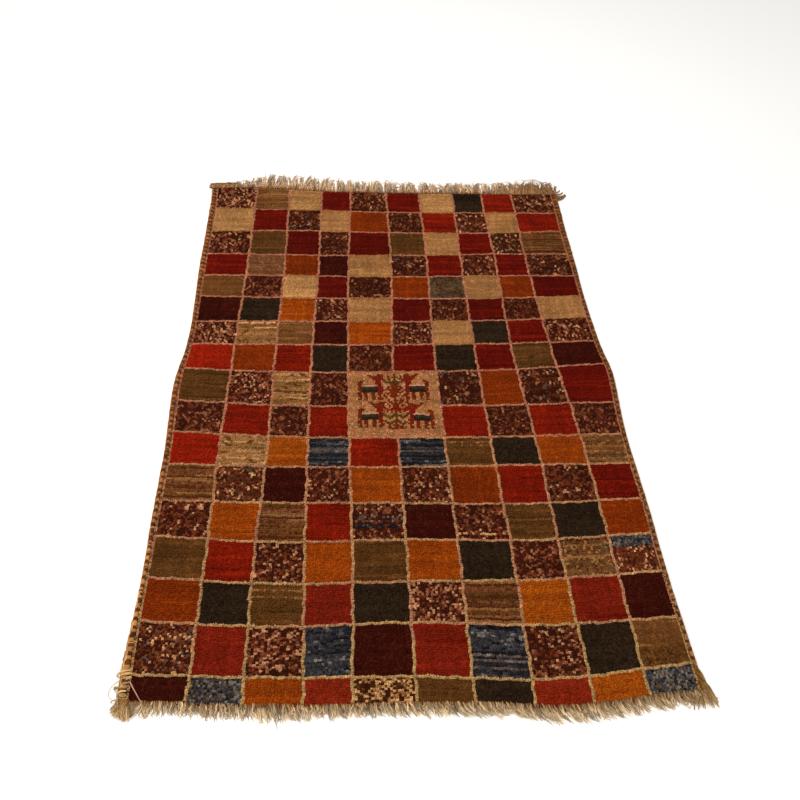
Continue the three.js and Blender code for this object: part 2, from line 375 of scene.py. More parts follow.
# The right half of the tree, from its trunk outwards: v leaf, o stem, r flower, p pale.
treeHalf = [
    ".........", "v........", "v..v.....", "vv.v.....", "v.vv.v...", "vvv.vv...", "vvvvv....", "ovv..p...",
    "oo..pp...", "oooop.r..", "oo.oopr..", "oooo.oo..", "ooo.r.o..", "oooor.rp.", "oo.o.o.p.", "ooo.oo...",
    "oo..o.o..", "o..o..oo.", "oo.oo.o..", "o.oo.oo..", "ooo.oo.rr", "oo.oo.rr.", "ro.o.rr..", "rrr.rr.r.",
    "orrrr.rr.", "orr.r....", "v.v...vv.", "vv...vv..", "vvv.vv...", "v.vvv..v.", "v..v..vv.", "vv...vv..",
    "ovv.vv.r.", "o.vvv.rr.", "oo.o..r..", "oooo.....", "ooooo....",
]
motifWools = {"o": "stem", "g": "body", "k": "charcoal", "r": "flower", "v": "leaf", "p": "motifPale"}
dice = np.random.default_rng(design["seed"])


def toLinear(rgb):
    share = np.asarray(rgb, float) / 255
    return np.where(share <= 0.04045, share / 12.92, ((share + 0.055) / 1.055) ** 2.4)


wool = {name: toLinear(rgb) for name, rgb in wools.items()}


# A small seeded wander to either side of a line, read at a place along it.
def wander(amount):
    lengths = dice.uniform((17, 33, 80), (26, 52, 150))
    phases = dice.uniform(0, 2 * np.pi, 3)
    shares = (0.45, 0.6, 0.6)

    def read(at):
        waves = [s * np.sin(2 * np.pi * at / l + p) for s, l, p in zip(shares, lengths, phases)]
        return amount * sum(waves)

    return read


columnCurves = [curveThrough(design["columnStations"], line) for line in design["columnLines"]]
rowCurves = [curveThrough(design["rowStations"], line) for line in design["rowLines"]]
columnWander = [wander(design["waver"]) for _ in columnCurves]
rowWander = [wander(design["waver"] * 0.8) for _ in rowCurves]
halfColumn = design["columnLineWidth"] / 2
halfSide = design["sideLineWidth"] / 2
halfRow = design["rowLineWidth"] / 2


# The middles of all eleven column lines at a place y, the first and last just inside the pile's sides.
def columnLinesAt(y):
    inner = [curve(y) + drift(y) for curve, drift in zip(columnCurves, columnWander)]
    return np.array([pileLeft(y) + halfSide, *inner, pileRight(y) - halfSide])


# The row lines at a place x, from the far end, the first and last being the ends of the pile.
def rowLinesAt(x):
    inner = [curve(x) + drift(x) for curve, drift in zip(rowCurves, rowWander)]
    return np.array([farEdge(x), *inner, nearEdge(x)])


# Spreads knots over the squares between the lines. Gives, for each edge between knots, its weights on the
# lines and its offset, for each knot the square or the line that it belongs to, and the knots in each
# square. The last square takes one more where the total would be odd.
def planKnots(lines, halfWidths, knot):
    gaps = np.abs(np.diff(lines)) - halfWidths[:-1] - halfWidths[1:]
    counts = np.maximum(np.round(gaps / knot), 2).astype(int)
    total = counts.sum() + np.count_nonzero(halfWidths)
    if total % 2:
        counts[-1] += 1
    sign = 1 if lines[-1] > lines[0] else -1
    weights = []
    offsets = []
    owner = []
    for line in range(len(lines)):
        one = np.eye(len(lines))[line]
        half = halfWidths[line]
        if half:
            weights += [one, one]
            offsets += [-half * sign, half * sign]
            owner.append(("line", line, 0))
        else:
            weights.append(one)
            offsets.append(0)
        if line == len(lines) - 1:
            break
        after = np.eye(len(lines))[line + 1]
        for i in range(1, counts[line]):
            t = i / counts[line]
            weights.append((1 - t) * one + t * after)
            offsets.append(sign * ((1 - t) * half - t * halfWidths[line + 1]))
        owner += [("square", line, i) for i in range(counts[line])]
    return np.array(weights), np.array(offsets), owner, counts


columnHalves = np.full(len(columnCurves) + 2, halfColumn)
columnHalves[[0, -1]] = halfSide
rowHalves = np.full(len(rowCurves) + 2, halfRow)
rowHalves[[0, -1]] = 0
columnWeights, columnOffsets, columnOwner, columnCounts = planKnots(
    columnLinesAt(np.float64(0)), columnHalves, design["knot"]
)
rowWeights, rowOffsets, rowOwner, rowCounts = planKnots(
    rowLinesAt(np.float64(0)), rowHalves, design["knot"]
)

# The corners between knots: columns from the left, rows from the far end.
cornerX = np.tile(columnWeights @ columnLinesAt(0.0) + columnOffsets, (len(rowOffsets), 1)).T
for _ in range(3):
    cornerY = np.einsum("rl,lcr->cr", rowWeights, rowLinesAt(cornerX)) + rowOffsets
    cornerX = np.einsum("cl,lcr->cr", columnWeights, columnLinesAt(cornerY)) + columnOffsets[:, None]
knotsAcross = len(columnOwner)
knotsAlong = len(rowOwner)
print("knots:", knotsAcross, "across,", knotsAlong, "along")


# Single knots of another wool, with slanting pairs, and with pairs along or across for given shares.
def layFlecks(cloth, flecks, rows, tall=0.0, wide=0.0, clump=0.25):
    part = cloth[:, rows]
    for name, share in flecks:
        leansRight = dice.random() < 0.5
        spots = dice.random(part.shape[:2]) < share / ((1 + clump) * (1 + tall) * (1 + wide) ** 2)
        grown = dice.random(part.shape[:2])
        slant = np.zeros_like(spots)
        if leansRight:
            slant[:-1, 1:] = spots[1:, :-1] & (grown[:-1, 1:] < clump)
        else:
            slant[1:, 1:] = spots[:-1, :-1] & (grown[1:, 1:] < clump)
        spots |= slant
        taller = dice.random(part.shape[:2]) < tall
        spots[:, 1:] |= spots[:, :-1] & taller[:, 1:]
        for _ in range(2):
            spots[1:] |= spots[:-1] & (dice.random(part.shape[:2]) < wide)[1:]
        part[spots] = wool[name]


# The slow change of tone over a square, as the dye took unevenly.
def slowTone(across, along, amount):
    u, v = np.meshgrid(np.arange(across) / 20, np.arange(along) / 20, indexing="ij")
    total = np.zeros((across, along))
    for _ in range(3):
        turn = dice.normal(0, 0.5, 2) + (0, 0.5)
        total += np.sin(2 * np.pi * (turn[0] * u + turn[1] * v) + dice.uniform(0, 6.28))
    return 1 + amount * total / 1.7


def layStreaks(cloth, streaks):
    across, along = cloth.shape[:2]
    for name, share, length in streaks:
        for row in np.flatnonzero(dice.random(along) < share):
            start = dice.integers(-length // 2, across)
            end = start + int(length * dice.uniform(0.6, 1.8)) + 1
            mix = dice.uniform(0.3, 0.9)
            part = cloth[max(start, 0):end, row]
            part += (wool[name] - part) * mix


# One square of knots, from its letter. Farness is 1 at the far end and 0 at the near end.
def knotSquare(letter, across, along, farness):
    mix = mixes[letter]
    wide = mix.get("wide", 0.0)
    tall = 0.0 if wide else 0.55 * farness
    cloth = np.tile(wool[mix["ground"]], (across, along, 1))
    layStreaks(cloth, mix.get("streaks", ()))
    layFlecks(cloth, mix.get("flecks", ()), slice(0, along), tall, wide)
    for start, end, ground, flecks in mix.get("bands", ()):
        rows = slice(round(start * along), max(round(end * along), round(start * along) + 1))
        cloth[:, rows] = wool[ground]
        layFlecks(cloth, flecks, rows, 0.0, wide)
    usual = design["rowTone"] + design["rowTone"] * farness
    rowTone = 1 + mix.get("rows", usual) * dice.standard_normal(along)
    rowTone = np.clip((rowTone + np.roll(rowTone, 1)) / 2, 0.4, 1.6)
    grain = 1 + mix.get("grain", 0.0) * dice.standard_normal((across, along))
    cloth *= np.clip(grain, 0.4, 1.8)[..., None]
    slow = design["slowTone"] + design["slowTone"] * farness
    return cloth * rowTone[:, None] * slowTone(across, along, slow)[..., None]


# The pale lines are one knot wide: rose at the far end, and gold and rose by turns at the near end.
def lineWool(y, count):
    share = np.clip((y + design["roseFades"]) / design["roseFades"], 0, 1)[..., None]
    drift = 0.6 + 0.4 * np.sin(np.arange(count) / dice.uniform(8, 18) + dice.uniform(0, 6))[:, None]
    gold = np.clip((design["goldFrom"] - y) / design["goldOver"], 0, 1)[..., None]
    drift = np.maximum(drift, gold)
    near = wool["lineGold"] * drift + wool["lineRose"] * (1 - drift)
    tone = near * (1 - share) + wool["lineFar"] * share
    tone = tone * (1 + design["lineTone"] * dice.standard_normal(count))[..., None]
    darkShare, darkTone = design["lineDark"]
    dark = (dice.random(count) < darkShare)[..., None]
    return np.where(dark, tone * darkTone, tone)


columnStart = np.cumsum([0, *(columnCounts + 1)])[:-1] + 1
rowStart = np.cumsum([0, *(rowCounts + 1)])[:-1]
knotWool = np.zeros((knotsAcross, knotsAlong, 3))
knotY = (cornerY[:-1, :-1] + cornerY[1:, 1:]) / 2
chart = design["chart"]
lastRow = len(chart) - 1
for c in range(len(columnCounts)):
    for r in range(len(rowCounts)):
        # M marks the middle block, which layMotif fills
        letter = chart[r][c].replace("M", "b")
        i, j = columnStart[c], rowStart[r]
        square = knotSquare(letter, columnCounts[c], rowCounts[r], (lastRow - r) / lastRow)
        knotWool[i:i + columnCounts[c], j:j + rowCounts[r]] = square
for j, (kind, line, _) in enumerate(rowOwner):
    if kind == "line":
        knotWool[:, j] = lineWool(knotY[:, j], knotsAcross)
        for c in range(len(columnCounts)):
            if set("bA") & {chart[line - 1][c], chart[line][c]}:
                i = columnStart[c]
                knotWool[i:i + columnCounts[c], j] = wool["beige"]
for i, (kind, line, _) in enumerate(columnOwner):
    if kind == "line":
        knotWool[i] = lineWool(knotY[i], knotsAlong)
    if kind == "line" and line == 0:
        dashed = np.sin(2 * np.pi * knotY[i] / design["sideDash"]) < -0.45
        knotWool[i][dashed] *= 0.5


# The middle block: a small tree with two horned animals on each side, over four of the squares.
def layMotif():
    column, row = design["block"]
    left, top = columnStart[column], rowStart[row]
    wide = columnCounts[column] + 1 + columnCounts[column + 1]
    tall = rowCounts[row] + 1 + rowCounts[row + 1]
    block = knotWool[left:left + wide, top:top + tall]
    block[:] = knotSquare("b", wide, tall, 0.4)
    fromMiddle = np.abs(np.arange(wide) / wide - 0.5)[:, None]
    rosy = dice.random((wide, tall)) < np.where(fromMiddle < 0.3, 0.8, 0.45)
    block[rosy] = wool["motifRose"]
    block[dice.random((wide, tall)) < 0.06] = wool["motifPale"]
    middle = wide // 2
    for row, line in enumerate(treeHalf[:tall]):
        for away, letter in enumerate(line):
            for side in (-1, 1):
                if letter != "." and dice.random() > 0.07:
                    block[middle + side * away, row] = wool[motifWools[letter]]
    places = ((4, 1, False), (4, 19, False), (wide - 18, 1, True), (wide - 17, 20, True))
    for column, row, mirrored in places:
        for down, line in enumerate(animal):
            for across, letter in enumerate(reversed(line) if mirrored else line):
                if letter != "." and row + down < tall:
                    block[column + across, row + down] = wool[motifWools[letter]]


layMotif()
knotWool *= design["knotMean"] + design["knotTone"] * dice.standard_normal(knotWool.shape[:2])[..., None]
knotWool = np.clip(knotWool * design["brighter"], 0.002, 1)
print("design knotted")


def makeMesh(name, points, faces):
    mesh = bpy.data.meshes.new(name)
    mesh.from_pydata([tuple(p) for p in points], [], [tuple(int(v) for v in face) for face in faces])
    mesh.update()
    return mesh


def addPiece(name, mesh, material):
    mesh.materials.clear()
    mesh.materials.append(material)
    mesh.polygons.foreach_set("use_smooth", np.ones(len(mesh.polygons), bool))
    piece = bpy.data.objects.new(name, mesh)
    bpy.context.scene.collection.objects.link(piece)
    return piece


def cornerColours(mesh, faceColours):
    counts = np.zeros(len(mesh.polygons), np.int32)
    mesh.polygons.foreach_get("loop_total", counts)
    layer = mesh.attributes.new("yarn", "FLOAT_COLOR", "CORNER")
    colours = np.repeat(np.c_[faceColours, np.ones(len(faceColours))], counts, axis=0)
    layer.data.foreach_set("color", colours.astype(np.float32).ravel())


# A flat map for each piece, seen from above. It may be cut into strips across, laid one above another.
def flatMap(mesh, strips=1, twoSided=False):
    count = len(mesh.loops)
    vertex = np.zeros(count, np.int32)
    mesh.loops.foreach_get("vertex_index", vertex)
    places = np.zeros(len(mesh.vertices) * 3)
    mesh.vertices.foreach_get("co", places)
    places = places.reshape(-1, 3)
    low, high = places.min(0), places.max(0)
    share = (places - low) / (high - low)
    total = np.zeros(len(mesh.polygons), np.int32)
    mesh.polygons.foreach_get("loop_total", total)
    centre = np.zeros(len(mesh.polygons) * 3)
    mesh.polygons.foreach_get("center", centre)
    normal = np.zeros(len(mesh.polygons) * 3)
    mesh.polygons.foreach_get("normal", normal)
    faceShare = (centre.reshape(-1, 3) - low) / (high - low)
    strip = np.clip(np.floor(faceShare[:, 0] * strips), 0, strips - 1)
    strip = np.repeat(strip, total)
    u = np.clip(share[vertex, 0] * strips - strip, 0, 1)
    v = (strip + share[vertex, 1]) / strips
    if twoSided:
        below = np.repeat(normal.reshape(-1, 3)[:, 2] < -0.5, total)
        u = np.where(below, 0.505 + 0.49 * u, 0.005 + 0.49 * u)
    layer = mesh.uv_layers.new(name="OFBake")
    layer.data.foreach_set("uv", np.c_[u, v].astype(np.float32).ravel())


# Shader node groups.
def newGroup(name, inputs, outputs):
    group = bpy.data.node_groups.new(name, "ShaderNodeTree")
    for label, kind, value in inputs:
        socket = group.interface.new_socket(name=label, in_out="INPUT", socket_type=kind)
        if value is not None:
            socket.default_value = value
    for label, kind in outputs:
        group.interface.new_socket(name=label, in_out="OUTPUT", socket_type=kind)
    return group, group.nodes.new("NodeGroupInput"), group.nodes.new("NodeGroupOutput")


# A node with its settings. Each of its inputs takes a value or a link from a socket.
def addNode(tree, kind, inputs=None, **settings):
    node = tree.nodes.new(kind)
    for key, value in settings.items():
        setattr(node, key, value)
    sockets = {s.identifier: s for s in node.inputs}
    for key, value in (inputs or {}).items():
        socket = sockets[key] if key in sockets else node.inputs[key]
        if isinstance(value, bpy.types.NodeSocket):
            tree.links.new(value, socket)
        else:
            socket.default_value = value
    return node


def addMath(tree, operation, first, second):
    return addNode(tree, "ShaderNodeMath", {0: first, 1: second}, operation=operation).outputs[0]


def addNoise(tree, place, scale, detail, roughness=0.5):
    inputs = {"Vector": place, "Scale": scale, "Detail": detail, "Roughness": roughness}
    return addNode(tree, "ShaderNodeTexNoise", inputs).outputs[0]


# Wool: slow patches of wear and dye, small mottling and fine fibres over a yarn's own colour.
def makeWoolGroup():
    group, start, end = newGroup(
        "wool",
        [
            ("Place", "NodeSocketVector", None), ("Yarn", "NodeSocketColor", (0.5, 0.3, 0.2, 1)),
            ("Patches", "NodeSocketFloat", 0.1), ("Mottle", "NodeSocketFloat", 0.15),
            ("Fibres", "NodeSocketFloat", 0.25), ("Fibre Scale", "NodeSocketFloat", 900.0),
        ],
        [("Color", "NodeSocketColor"), ("Roughness", "NodeSocketFloat"), ("Height", "NodeSocketFloat")],
    )
    place = start.outputs["Place"]
    patches = addNoise(group, place, 5.0, 2.0)
    mottle = addNoise(group, place, 120.0, 3.0, 0.6)
    fibres = addNoise(group, place, start.outputs["Fibre Scale"], 2.0, 0.6)
    tone = 1.0
    for noise, label in ((patches, "Patches"), (mottle, "Mottle"), (fibres, "Fibres")):
        around = addMath(group, "MULTIPLY", addMath(group, "SUBTRACT", noise, 0.5), 2.0)
        amount = addMath(group, "MULTIPLY", around, start.outputs[label])
        tone = addMath(group, "ADD", amount, tone)
    scaled = addNode(group, "ShaderNodeVectorMath", {
        "Vector": start.outputs["Yarn"], "Scale": addMath(group, "MAXIMUM", tone, 0.2),
    }, operation="SCALE")
    group.links.new(scaled.outputs[0], end.inputs["Color"])
    roughness = addMath(group, "ADD", addMath(group, "MULTIPLY", fibres, 0.2), 0.8)
    height = addMath(group, "ADD", fibres, addMath(group, "MULTIPLY", mottle, 0.6))
    group.links.new(roughness, end.inputs["Roughness"])
    group.links.new(height, end.inputs["Height"])
    return group


woolGroup = makeWoolGroup()


def woolMaterial(name, look):
    material = bpy.data.materials.new(name)
    material.use_nodes = True
    tree = material.node_tree
    tree.nodes.clear()
    yarn = addNode(tree, "ShaderNodeAttribute", attribute_name="yarn")
    fibres = addNode(tree, "ShaderNodeGroup", {
        "Place": addNode(tree, "ShaderNodeTexCoord").outputs["Object"], "Yarn": yarn.outputs["Color"],
        **{label: look[label] for label in ("Patches", "Mottle", "Fibres", "Fibre Scale")},
    }, node_tree=woolGroup)
    bump = addNode(tree, "ShaderNodeBump", {
        "Strength": look["bump"], "Distance": 0.001, "Height": fibres.outputs["Height"],
    })
    shader = addNode(tree, "ShaderNodeBsdfPrincipled", {
        "Base Color": fibres.outputs["Color"], "Roughness": fibres.outputs["Roughness"],
        "Specular IOR Level": look["gloss"], "Sheen Weight": look["sheen"], "Sheen Roughness": 0.6,
        "Normal": bump.outputs["Normal"],
    })
    addNode(tree, "ShaderNodeOutputMaterial", {"Surface": shader.outputs[0]})
    return material


pileWool = woolMaterial("knotted wool pile", {
    "gloss": 0.02, "sheen": 0.0, "bump": 0.5,
    "Patches": 0.12, "Mottle": 0.2, "Fibres": 0.25, "Fibre Scale": 900.0,
})
cordWool = woolMaterial("overcast wool", {
    "gloss": 0.03, "sheen": 0.0, "bump": 0.5,
    "Patches": 0.12, "Mottle": 0.2, "Fibres": 0.3, "Fibre Scale": 1100.0,
})
warpWool = woolMaterial("warp wool", {
    "gloss": 0.04, "sheen": 0.02, "bump": 0.4,
    "Patches": 0.1, "Mottle": 0.2, "Fibres": 0.25, "Fibre Scale": 1400.0,
})
print("materials made")

# The ground of the pile: one closed cloth whose upper face lies under the tips of the knots.
ground = {
    "top": 9.5, "rimDrop": 2.5, "rimInset": 1.4, "wallMiddle": 4.2, "floor": 0.3, "floorInset": 0.8,
    "rough": 0.25, "sideTone": 0.8,
}


def makeGround():
    wide, tall = cornerX.shape
    x = cornerX.copy()
    y = cornerY.copy()
    z = ground["top"] + swell(x, y) + dice.uniform(-1, 1, x.shape) * ground["rough"]
    x[0] += ground["rimInset"]
    x[-1] -= ground["rimInset"]
    y[:, 0] -= ground["rimInset"]
    y[:, -1] += ground["rimInset"]
    for edge in (np.s_[0], np.s_[-1], np.s_[:, 0], np.s_[:, -1]):
        z[edge] -= ground["rimDrop"]
    top = np.arange(wide * tall).reshape(wide, tall)
    points = [np.stack([x, y, z], -1).reshape(-1, 3)]
    # around the rim: down the left side, along the near end, up the right side, back along the far end
    ring = np.concatenate([
        [(0, j) for j in range(tall - 1)], [(i, tall - 1) for i in range(wide - 1)],
        [(wide - 1, j) for j in range(tall - 1, 0, -1)], [(i, 0) for i in range(wide - 1, 0, -1)],
    ])
    wall = len(points[0]) + np.arange(len(ring))
    wallPoints = np.c_[cornerX[ring[:, 0], ring[:, 1]], cornerY[ring[:, 0], ring[:, 1]]]
    points.append(np.c_[wallPoints, np.full(len(ring), ground["wallMiddle"])])
    under = np.s_[::2, ::2]
    lowX = cornerX[under].copy()
    lowY = cornerY[under].copy()
    lowX[0] += ground["floorInset"]
    lowX[-1] -= ground["floorInset"]
    lowY[:, 0] -= ground["floorInset"]
    lowY[:, -1] += ground["floorInset"]
    first = len(points[0]) + len(ring)
    low = first + np.arange(lowX.size).reshape(lowX.shape)
    points.append(np.stack([lowX, lowY, np.full(lowX.shape, ground["floor"])], -1).reshape(-1, 3))
    faces = []
    colours = []
    for i in range(wide - 1):
        for j in range(tall - 1):
            faces.append((top[i, j], top[i, j + 1], top[i + 1, j + 1], top[i + 1, j]))
            colours.append(knotWool[i, j])
    for n in range(len(ring)):
        after = (n + 1) % len(ring)
        a, b = ring[n], ring[after]
        faces.append((top[tuple(a)], wall[n], wall[after], top[tuple(b)]))
        knot = np.minimum(np.minimum(a, b), (wide - 2, tall - 2))
        colours.append(knotWool[tuple(knot)] * ground["sideTone"])
    for n in range(0, len(ring), 2):
        after = (n + 2) % len(ring)
        a, b = ring[n], ring[after]
        faces.append((wall[n], low[tuple(a // 2)], low[tuple(b // 2)], wall[after], wall[n + 1]))
        knot = np.minimum(np.minimum(a, b), (wide - 2, tall - 2))
        colours.append(knotWool[tuple(knot)] * ground["sideTone"])
    for i in range(low.shape[0] - 1):
        for j in range(low.shape[1] - 1):
            faces.append((low[i, j], low[i + 1, j], low[i + 1, j + 1], low[i, j + 1]))
            colours.append(knotWool[2 * i + i % 2, 2 * j + j % 2])
    mesh = makeMesh("pile_ground", toRow(np.concatenate(points)), faces)
    cornerColours(mesh, np.array(colours))
    flatMap(mesh, twoSided=True)
    return addPiece("pile_ground", mesh, pileWool)


pileGround = makeGround()
print("ground cloth made:", len(pileGround.data.polygons), "faces")

# The knots' tips: a short cut tuft for each knot, pointed at its foot and three-sided at its tip, set by
# Geometry Nodes on points that carry its colour. In the pale lines the tufts stand less evenly.
tufts = {
    "sunk": 1.5, "height": 2.05, "tipRadius": 3.4, "sizeSpread": 0.14, "leanSpread": 0.1,
    "outward": 0.42, "rimDrop": 0.9, "wander": 1.3, "lineWander": 0.6, "lineSizes": (0.82, 1.14),
    "lineRise": 0.5, "bands": 4, "seed": 23,
}


def geometryTree(name, inputs):
    tree = bpy.data.node_groups.new(name, "GeometryNodeTree")
    tree.interface.new_socket(name="Geometry", in_out="INPUT", socket_type="NodeSocketGeometry")
    for label, kind, value in inputs:
        socket = tree.interface.new_socket(name=label, in_out="INPUT", socket_type=kind)
        if value is not None:
            socket.default_value = value
    tree.interface.new_socket(name="Geometry", in_out="OUTPUT", socket_type="NodeSocketGeometry")
    return tree, tree.nodes.new("NodeGroupInput"), tree.nodes.new("NodeGroupOutput")


# The value of a named attribute of the points.
def readNamed(tree, name, kind="FLOAT"):
    return addNode(tree, "GeometryNodeInputNamedAttribute", {"Name": name}, data_type=kind).outputs[0]


# The end of every tree: real geometry in one material.
def finishTree(tree, start, end, geometry):
    real = addNode(tree, "GeometryNodeRealizeInstances", {0: geometry})
    inputs = {"Geometry": real.outputs[0], "Material": start.outputs["Material"]}
    tree.links.new(addNode(tree, "GeometryNodeSetMaterial", inputs).outputs[0], end.inputs[0])


def makeTuftTree():
    tree, start, end = geometryTree("cut tufts", [
        ("Tip Radius", "NodeSocketFloat", 0.003), ("Height", "NodeSocketFloat", 0.003),
        ("Size Spread", "NodeSocketFloat", 0.1), ("Lean Spread", "NodeSocketFloat", 0.1),
        ("Seed", "NodeSocketInt", 1), ("Material", "NodeSocketMaterial", None),
    ])
    given = start.outputs
    tuft = addNode(tree, "GeometryNodeMeshCone", {
        "Vertices": 3, "Radius Top": given["Tip Radius"], "Radius Bottom": 0, "Depth": given["Height"],
    }, fill_type="NGON")
    # each tuft leans its own way, turned any way round, and those of the rim lean outwards as well
    spread = given["Lean Spread"]
    back = addMath(tree, "MULTIPLY", spread, -1)
    low = addNode(tree, "ShaderNodeCombineXYZ", {"X": back, "Y": back})
    high = addNode(tree, "ShaderNodeCombineXYZ", {"X": spread, "Y": spread, "Z": 6.2832})
    lean = addNode(tree, "FunctionNodeRandomValue", {
        "Min": low.outputs[0], "Max": high.outputs[0], "Seed": given["Seed"],
    }, data_type="FLOAT_VECTOR")
    turned = addNode(tree, "FunctionNodeRotateEuler", {
        "Rotation": lean.outputs["Value"], "Rotate By": readNamed(tree, "lean", "FLOAT_VECTOR"),
    }, space="OBJECT")
    size = addNode(tree, "FunctionNodeRandomValue", {
        "Min_001": addMath(tree, "SUBTRACT", 1, given["Size Spread"]),
        "Max_001": addMath(tree, "ADD", 1, given["Size Spread"]), "Seed": given["Seed"],
    }, data_type="FLOAT")
    drawn = next(s for s in size.outputs if s.identifier == "Value_001")
    place = addNode(tree, "GeometryNodeInstanceOnPoints", {
        "Points": given["Geometry"], "Instance": tuft.outputs["Mesh"], "Rotation": turned.outputs[0],
        "Scale": addMath(tree, "MULTIPLY", drawn, readNamed(tree, "size")),
    })
    finishTree(tree, start, end, place.outputs[0])
    return tree


# Runs a tree on a base object once and gives the result as a plain mesh. The base and its modifier go.
def grow(base, tree, values):
    modifier = base.modifiers.new("grow", "NODES")
    modifier.node_group = tree
    sockets = [s for s in tree.interface.items_tree if s.item_type == "SOCKET" and s.in_out == "INPUT"]
    named = {s.name: s.identifier for s in sockets}
    for label, value in values.items():
        modifier[named[label]] = value
    bpy.context.view_layer.update()
    ready = base.evaluated_get(bpy.context.evaluated_depsgraph_get())
    mesh = bpy.data.meshes.new_from_object(ready)
    base.modifiers.remove(modifier)
    bpy.data.objects.remove(base)
    return mesh


def pointBase(name, points, attributes, edges=()):
    mesh = bpy.data.meshes.new(name)
    mesh.from_pydata([tuple(p) for p in points], list(edges), [])
    for label, kind, values in attributes:
        layer = mesh.attributes.new(label, kind, "POINT")
        key = {"FLOAT": "value", "FLOAT_VECTOR": "vector", "FLOAT_COLOR": "color"}[kind]
        layer.data.foreach_set(key, np.asarray(values, np.float32).ravel())
    base = bpy.data.objects.new(name, mesh)
    bpy.context.scene.collection.objects.link(base)
    return base


def opaque(colours):
    return np.c_[colours, np.ones(len(colours))]


def makeTufts():
    tree = makeTuftTree()
    x = (cornerX[:-1, :-1] + cornerX[1:, :-1] + cornerX[:-1, 1:] + cornerX[1:, 1:]) / 4
    y = (cornerY[:-1, :-1] + cornerY[1:, :-1] + cornerY[:-1, 1:] + cornerY[1:, 1:]) / 4
    area = np.abs((cornerX[1:, 1:] - cornerX[:-1, :-1]) * (cornerY[1:, 1:] - cornerY[:-1, :-1]))
    size = np.sqrt(area) / design["knot"]
    z = ground["top"] + swell(x, y) - tufts["sunk"]
    lean = np.zeros((*x.shape, 3))
    lean[0, :, 1] -= tufts["outward"]
    lean[-1, :, 1] += tufts["outward"]
    lean[:, 0, 0] -= tufts["outward"]
    lean[:, -1, 0] += tufts["outward"]
    edge = np.zeros(x.shape, bool)
    edge[[0, -1]] = True
    edge[:, [0, -1]] = True
    z -= edge * tufts["rimDrop"]
    x = x + dice.uniform(-1, 1, x.shape) * tufts["wander"]
    y = y + dice.uniform(-1, 1, y.shape) * tufts["wander"]
    inLine = np.array([kind == "line" for kind, _, _ in columnOwner])
    inRow = np.array([kind == "line" for kind, _, _ in rowOwner])
    x[inLine] += dice.uniform(-1, 1, x[inLine].shape) * tufts["lineWander"]
    y[:, inRow] += dice.uniform(-1, 1, y[:, inRow].shape) * tufts["lineWander"]
    uneven = dice.uniform(*tufts["lineSizes"], size.shape)
    inEither = inLine[:, None] | inRow[None]
    size = np.where(inEither, size * uneven, size)
    z = z + inEither * dice.uniform(0, tufts["lineRise"], z.shape)
    made = []
    for band, rows in enumerate(np.array_split(np.arange(knotsAlong), tufts["bands"])):
        places = toRow(np.stack([x[:, rows], y[:, rows], z[:, rows]], -1).reshape(-1, 3))
        base = pointBase("knot points", places, [
            ("yarn", "FLOAT_COLOR", opaque(knotWool[:, rows].reshape(-1, 3))),
            ("lean", "FLOAT_VECTOR", lean[:, rows].reshape(-1, 3)),
            ("size", "FLOAT", size[:, rows].ravel()),
        ])
        mesh = grow(base, tree, {
            "Tip Radius": tufts["tipRadius"] / 1000, "Height": tufts["height"] / 1000,
            "Size Spread": tufts["sizeSpread"], "Lean Spread": tufts["leanSpread"],
            "Seed": tufts["seed"] + band, "Material": pileWool,
        })
        flatMap(mesh)
        made.append(addPiece(f"pile_knots_{band + 1}", mesh, pileWool))
    return made


pileKnots = makeTufts()
print("tufts set:", sum(len(o.data.polygons) for o in pileKnots), "faces")

# The side cords: overcast wool, dark brown and camel by turns on top and camel on the outer face. The left
# one is paler there near both ends.
cords = {
    "height": 8.6, "sides": 14, "wrap": 8.5, "ringsToWrap": 8, "ridge": 0.13, "slant": 0.6, "floor": 0.25,
    "nearCamel": (142, 98, 54), "farCamel": (124, 78, 40), "dark": (84, 44, 20), "pale": (198, 156, 110),
    "nearDark": 0.48, "farDark": 0.64, "leftLighter": 1.35, "farPale": 700, "nearPale": (-725, -500),
    "out": 1.4, "plump": 0.05, "taperRings": 9, "toneSpread": 0.16, "darkSpread": 0.22,
    "inside": (-0.62, -0.3), "palest": (0.2, 1), "camelFrom": (-600, -100), "outerTone": 0.9, "seed": 5,
}


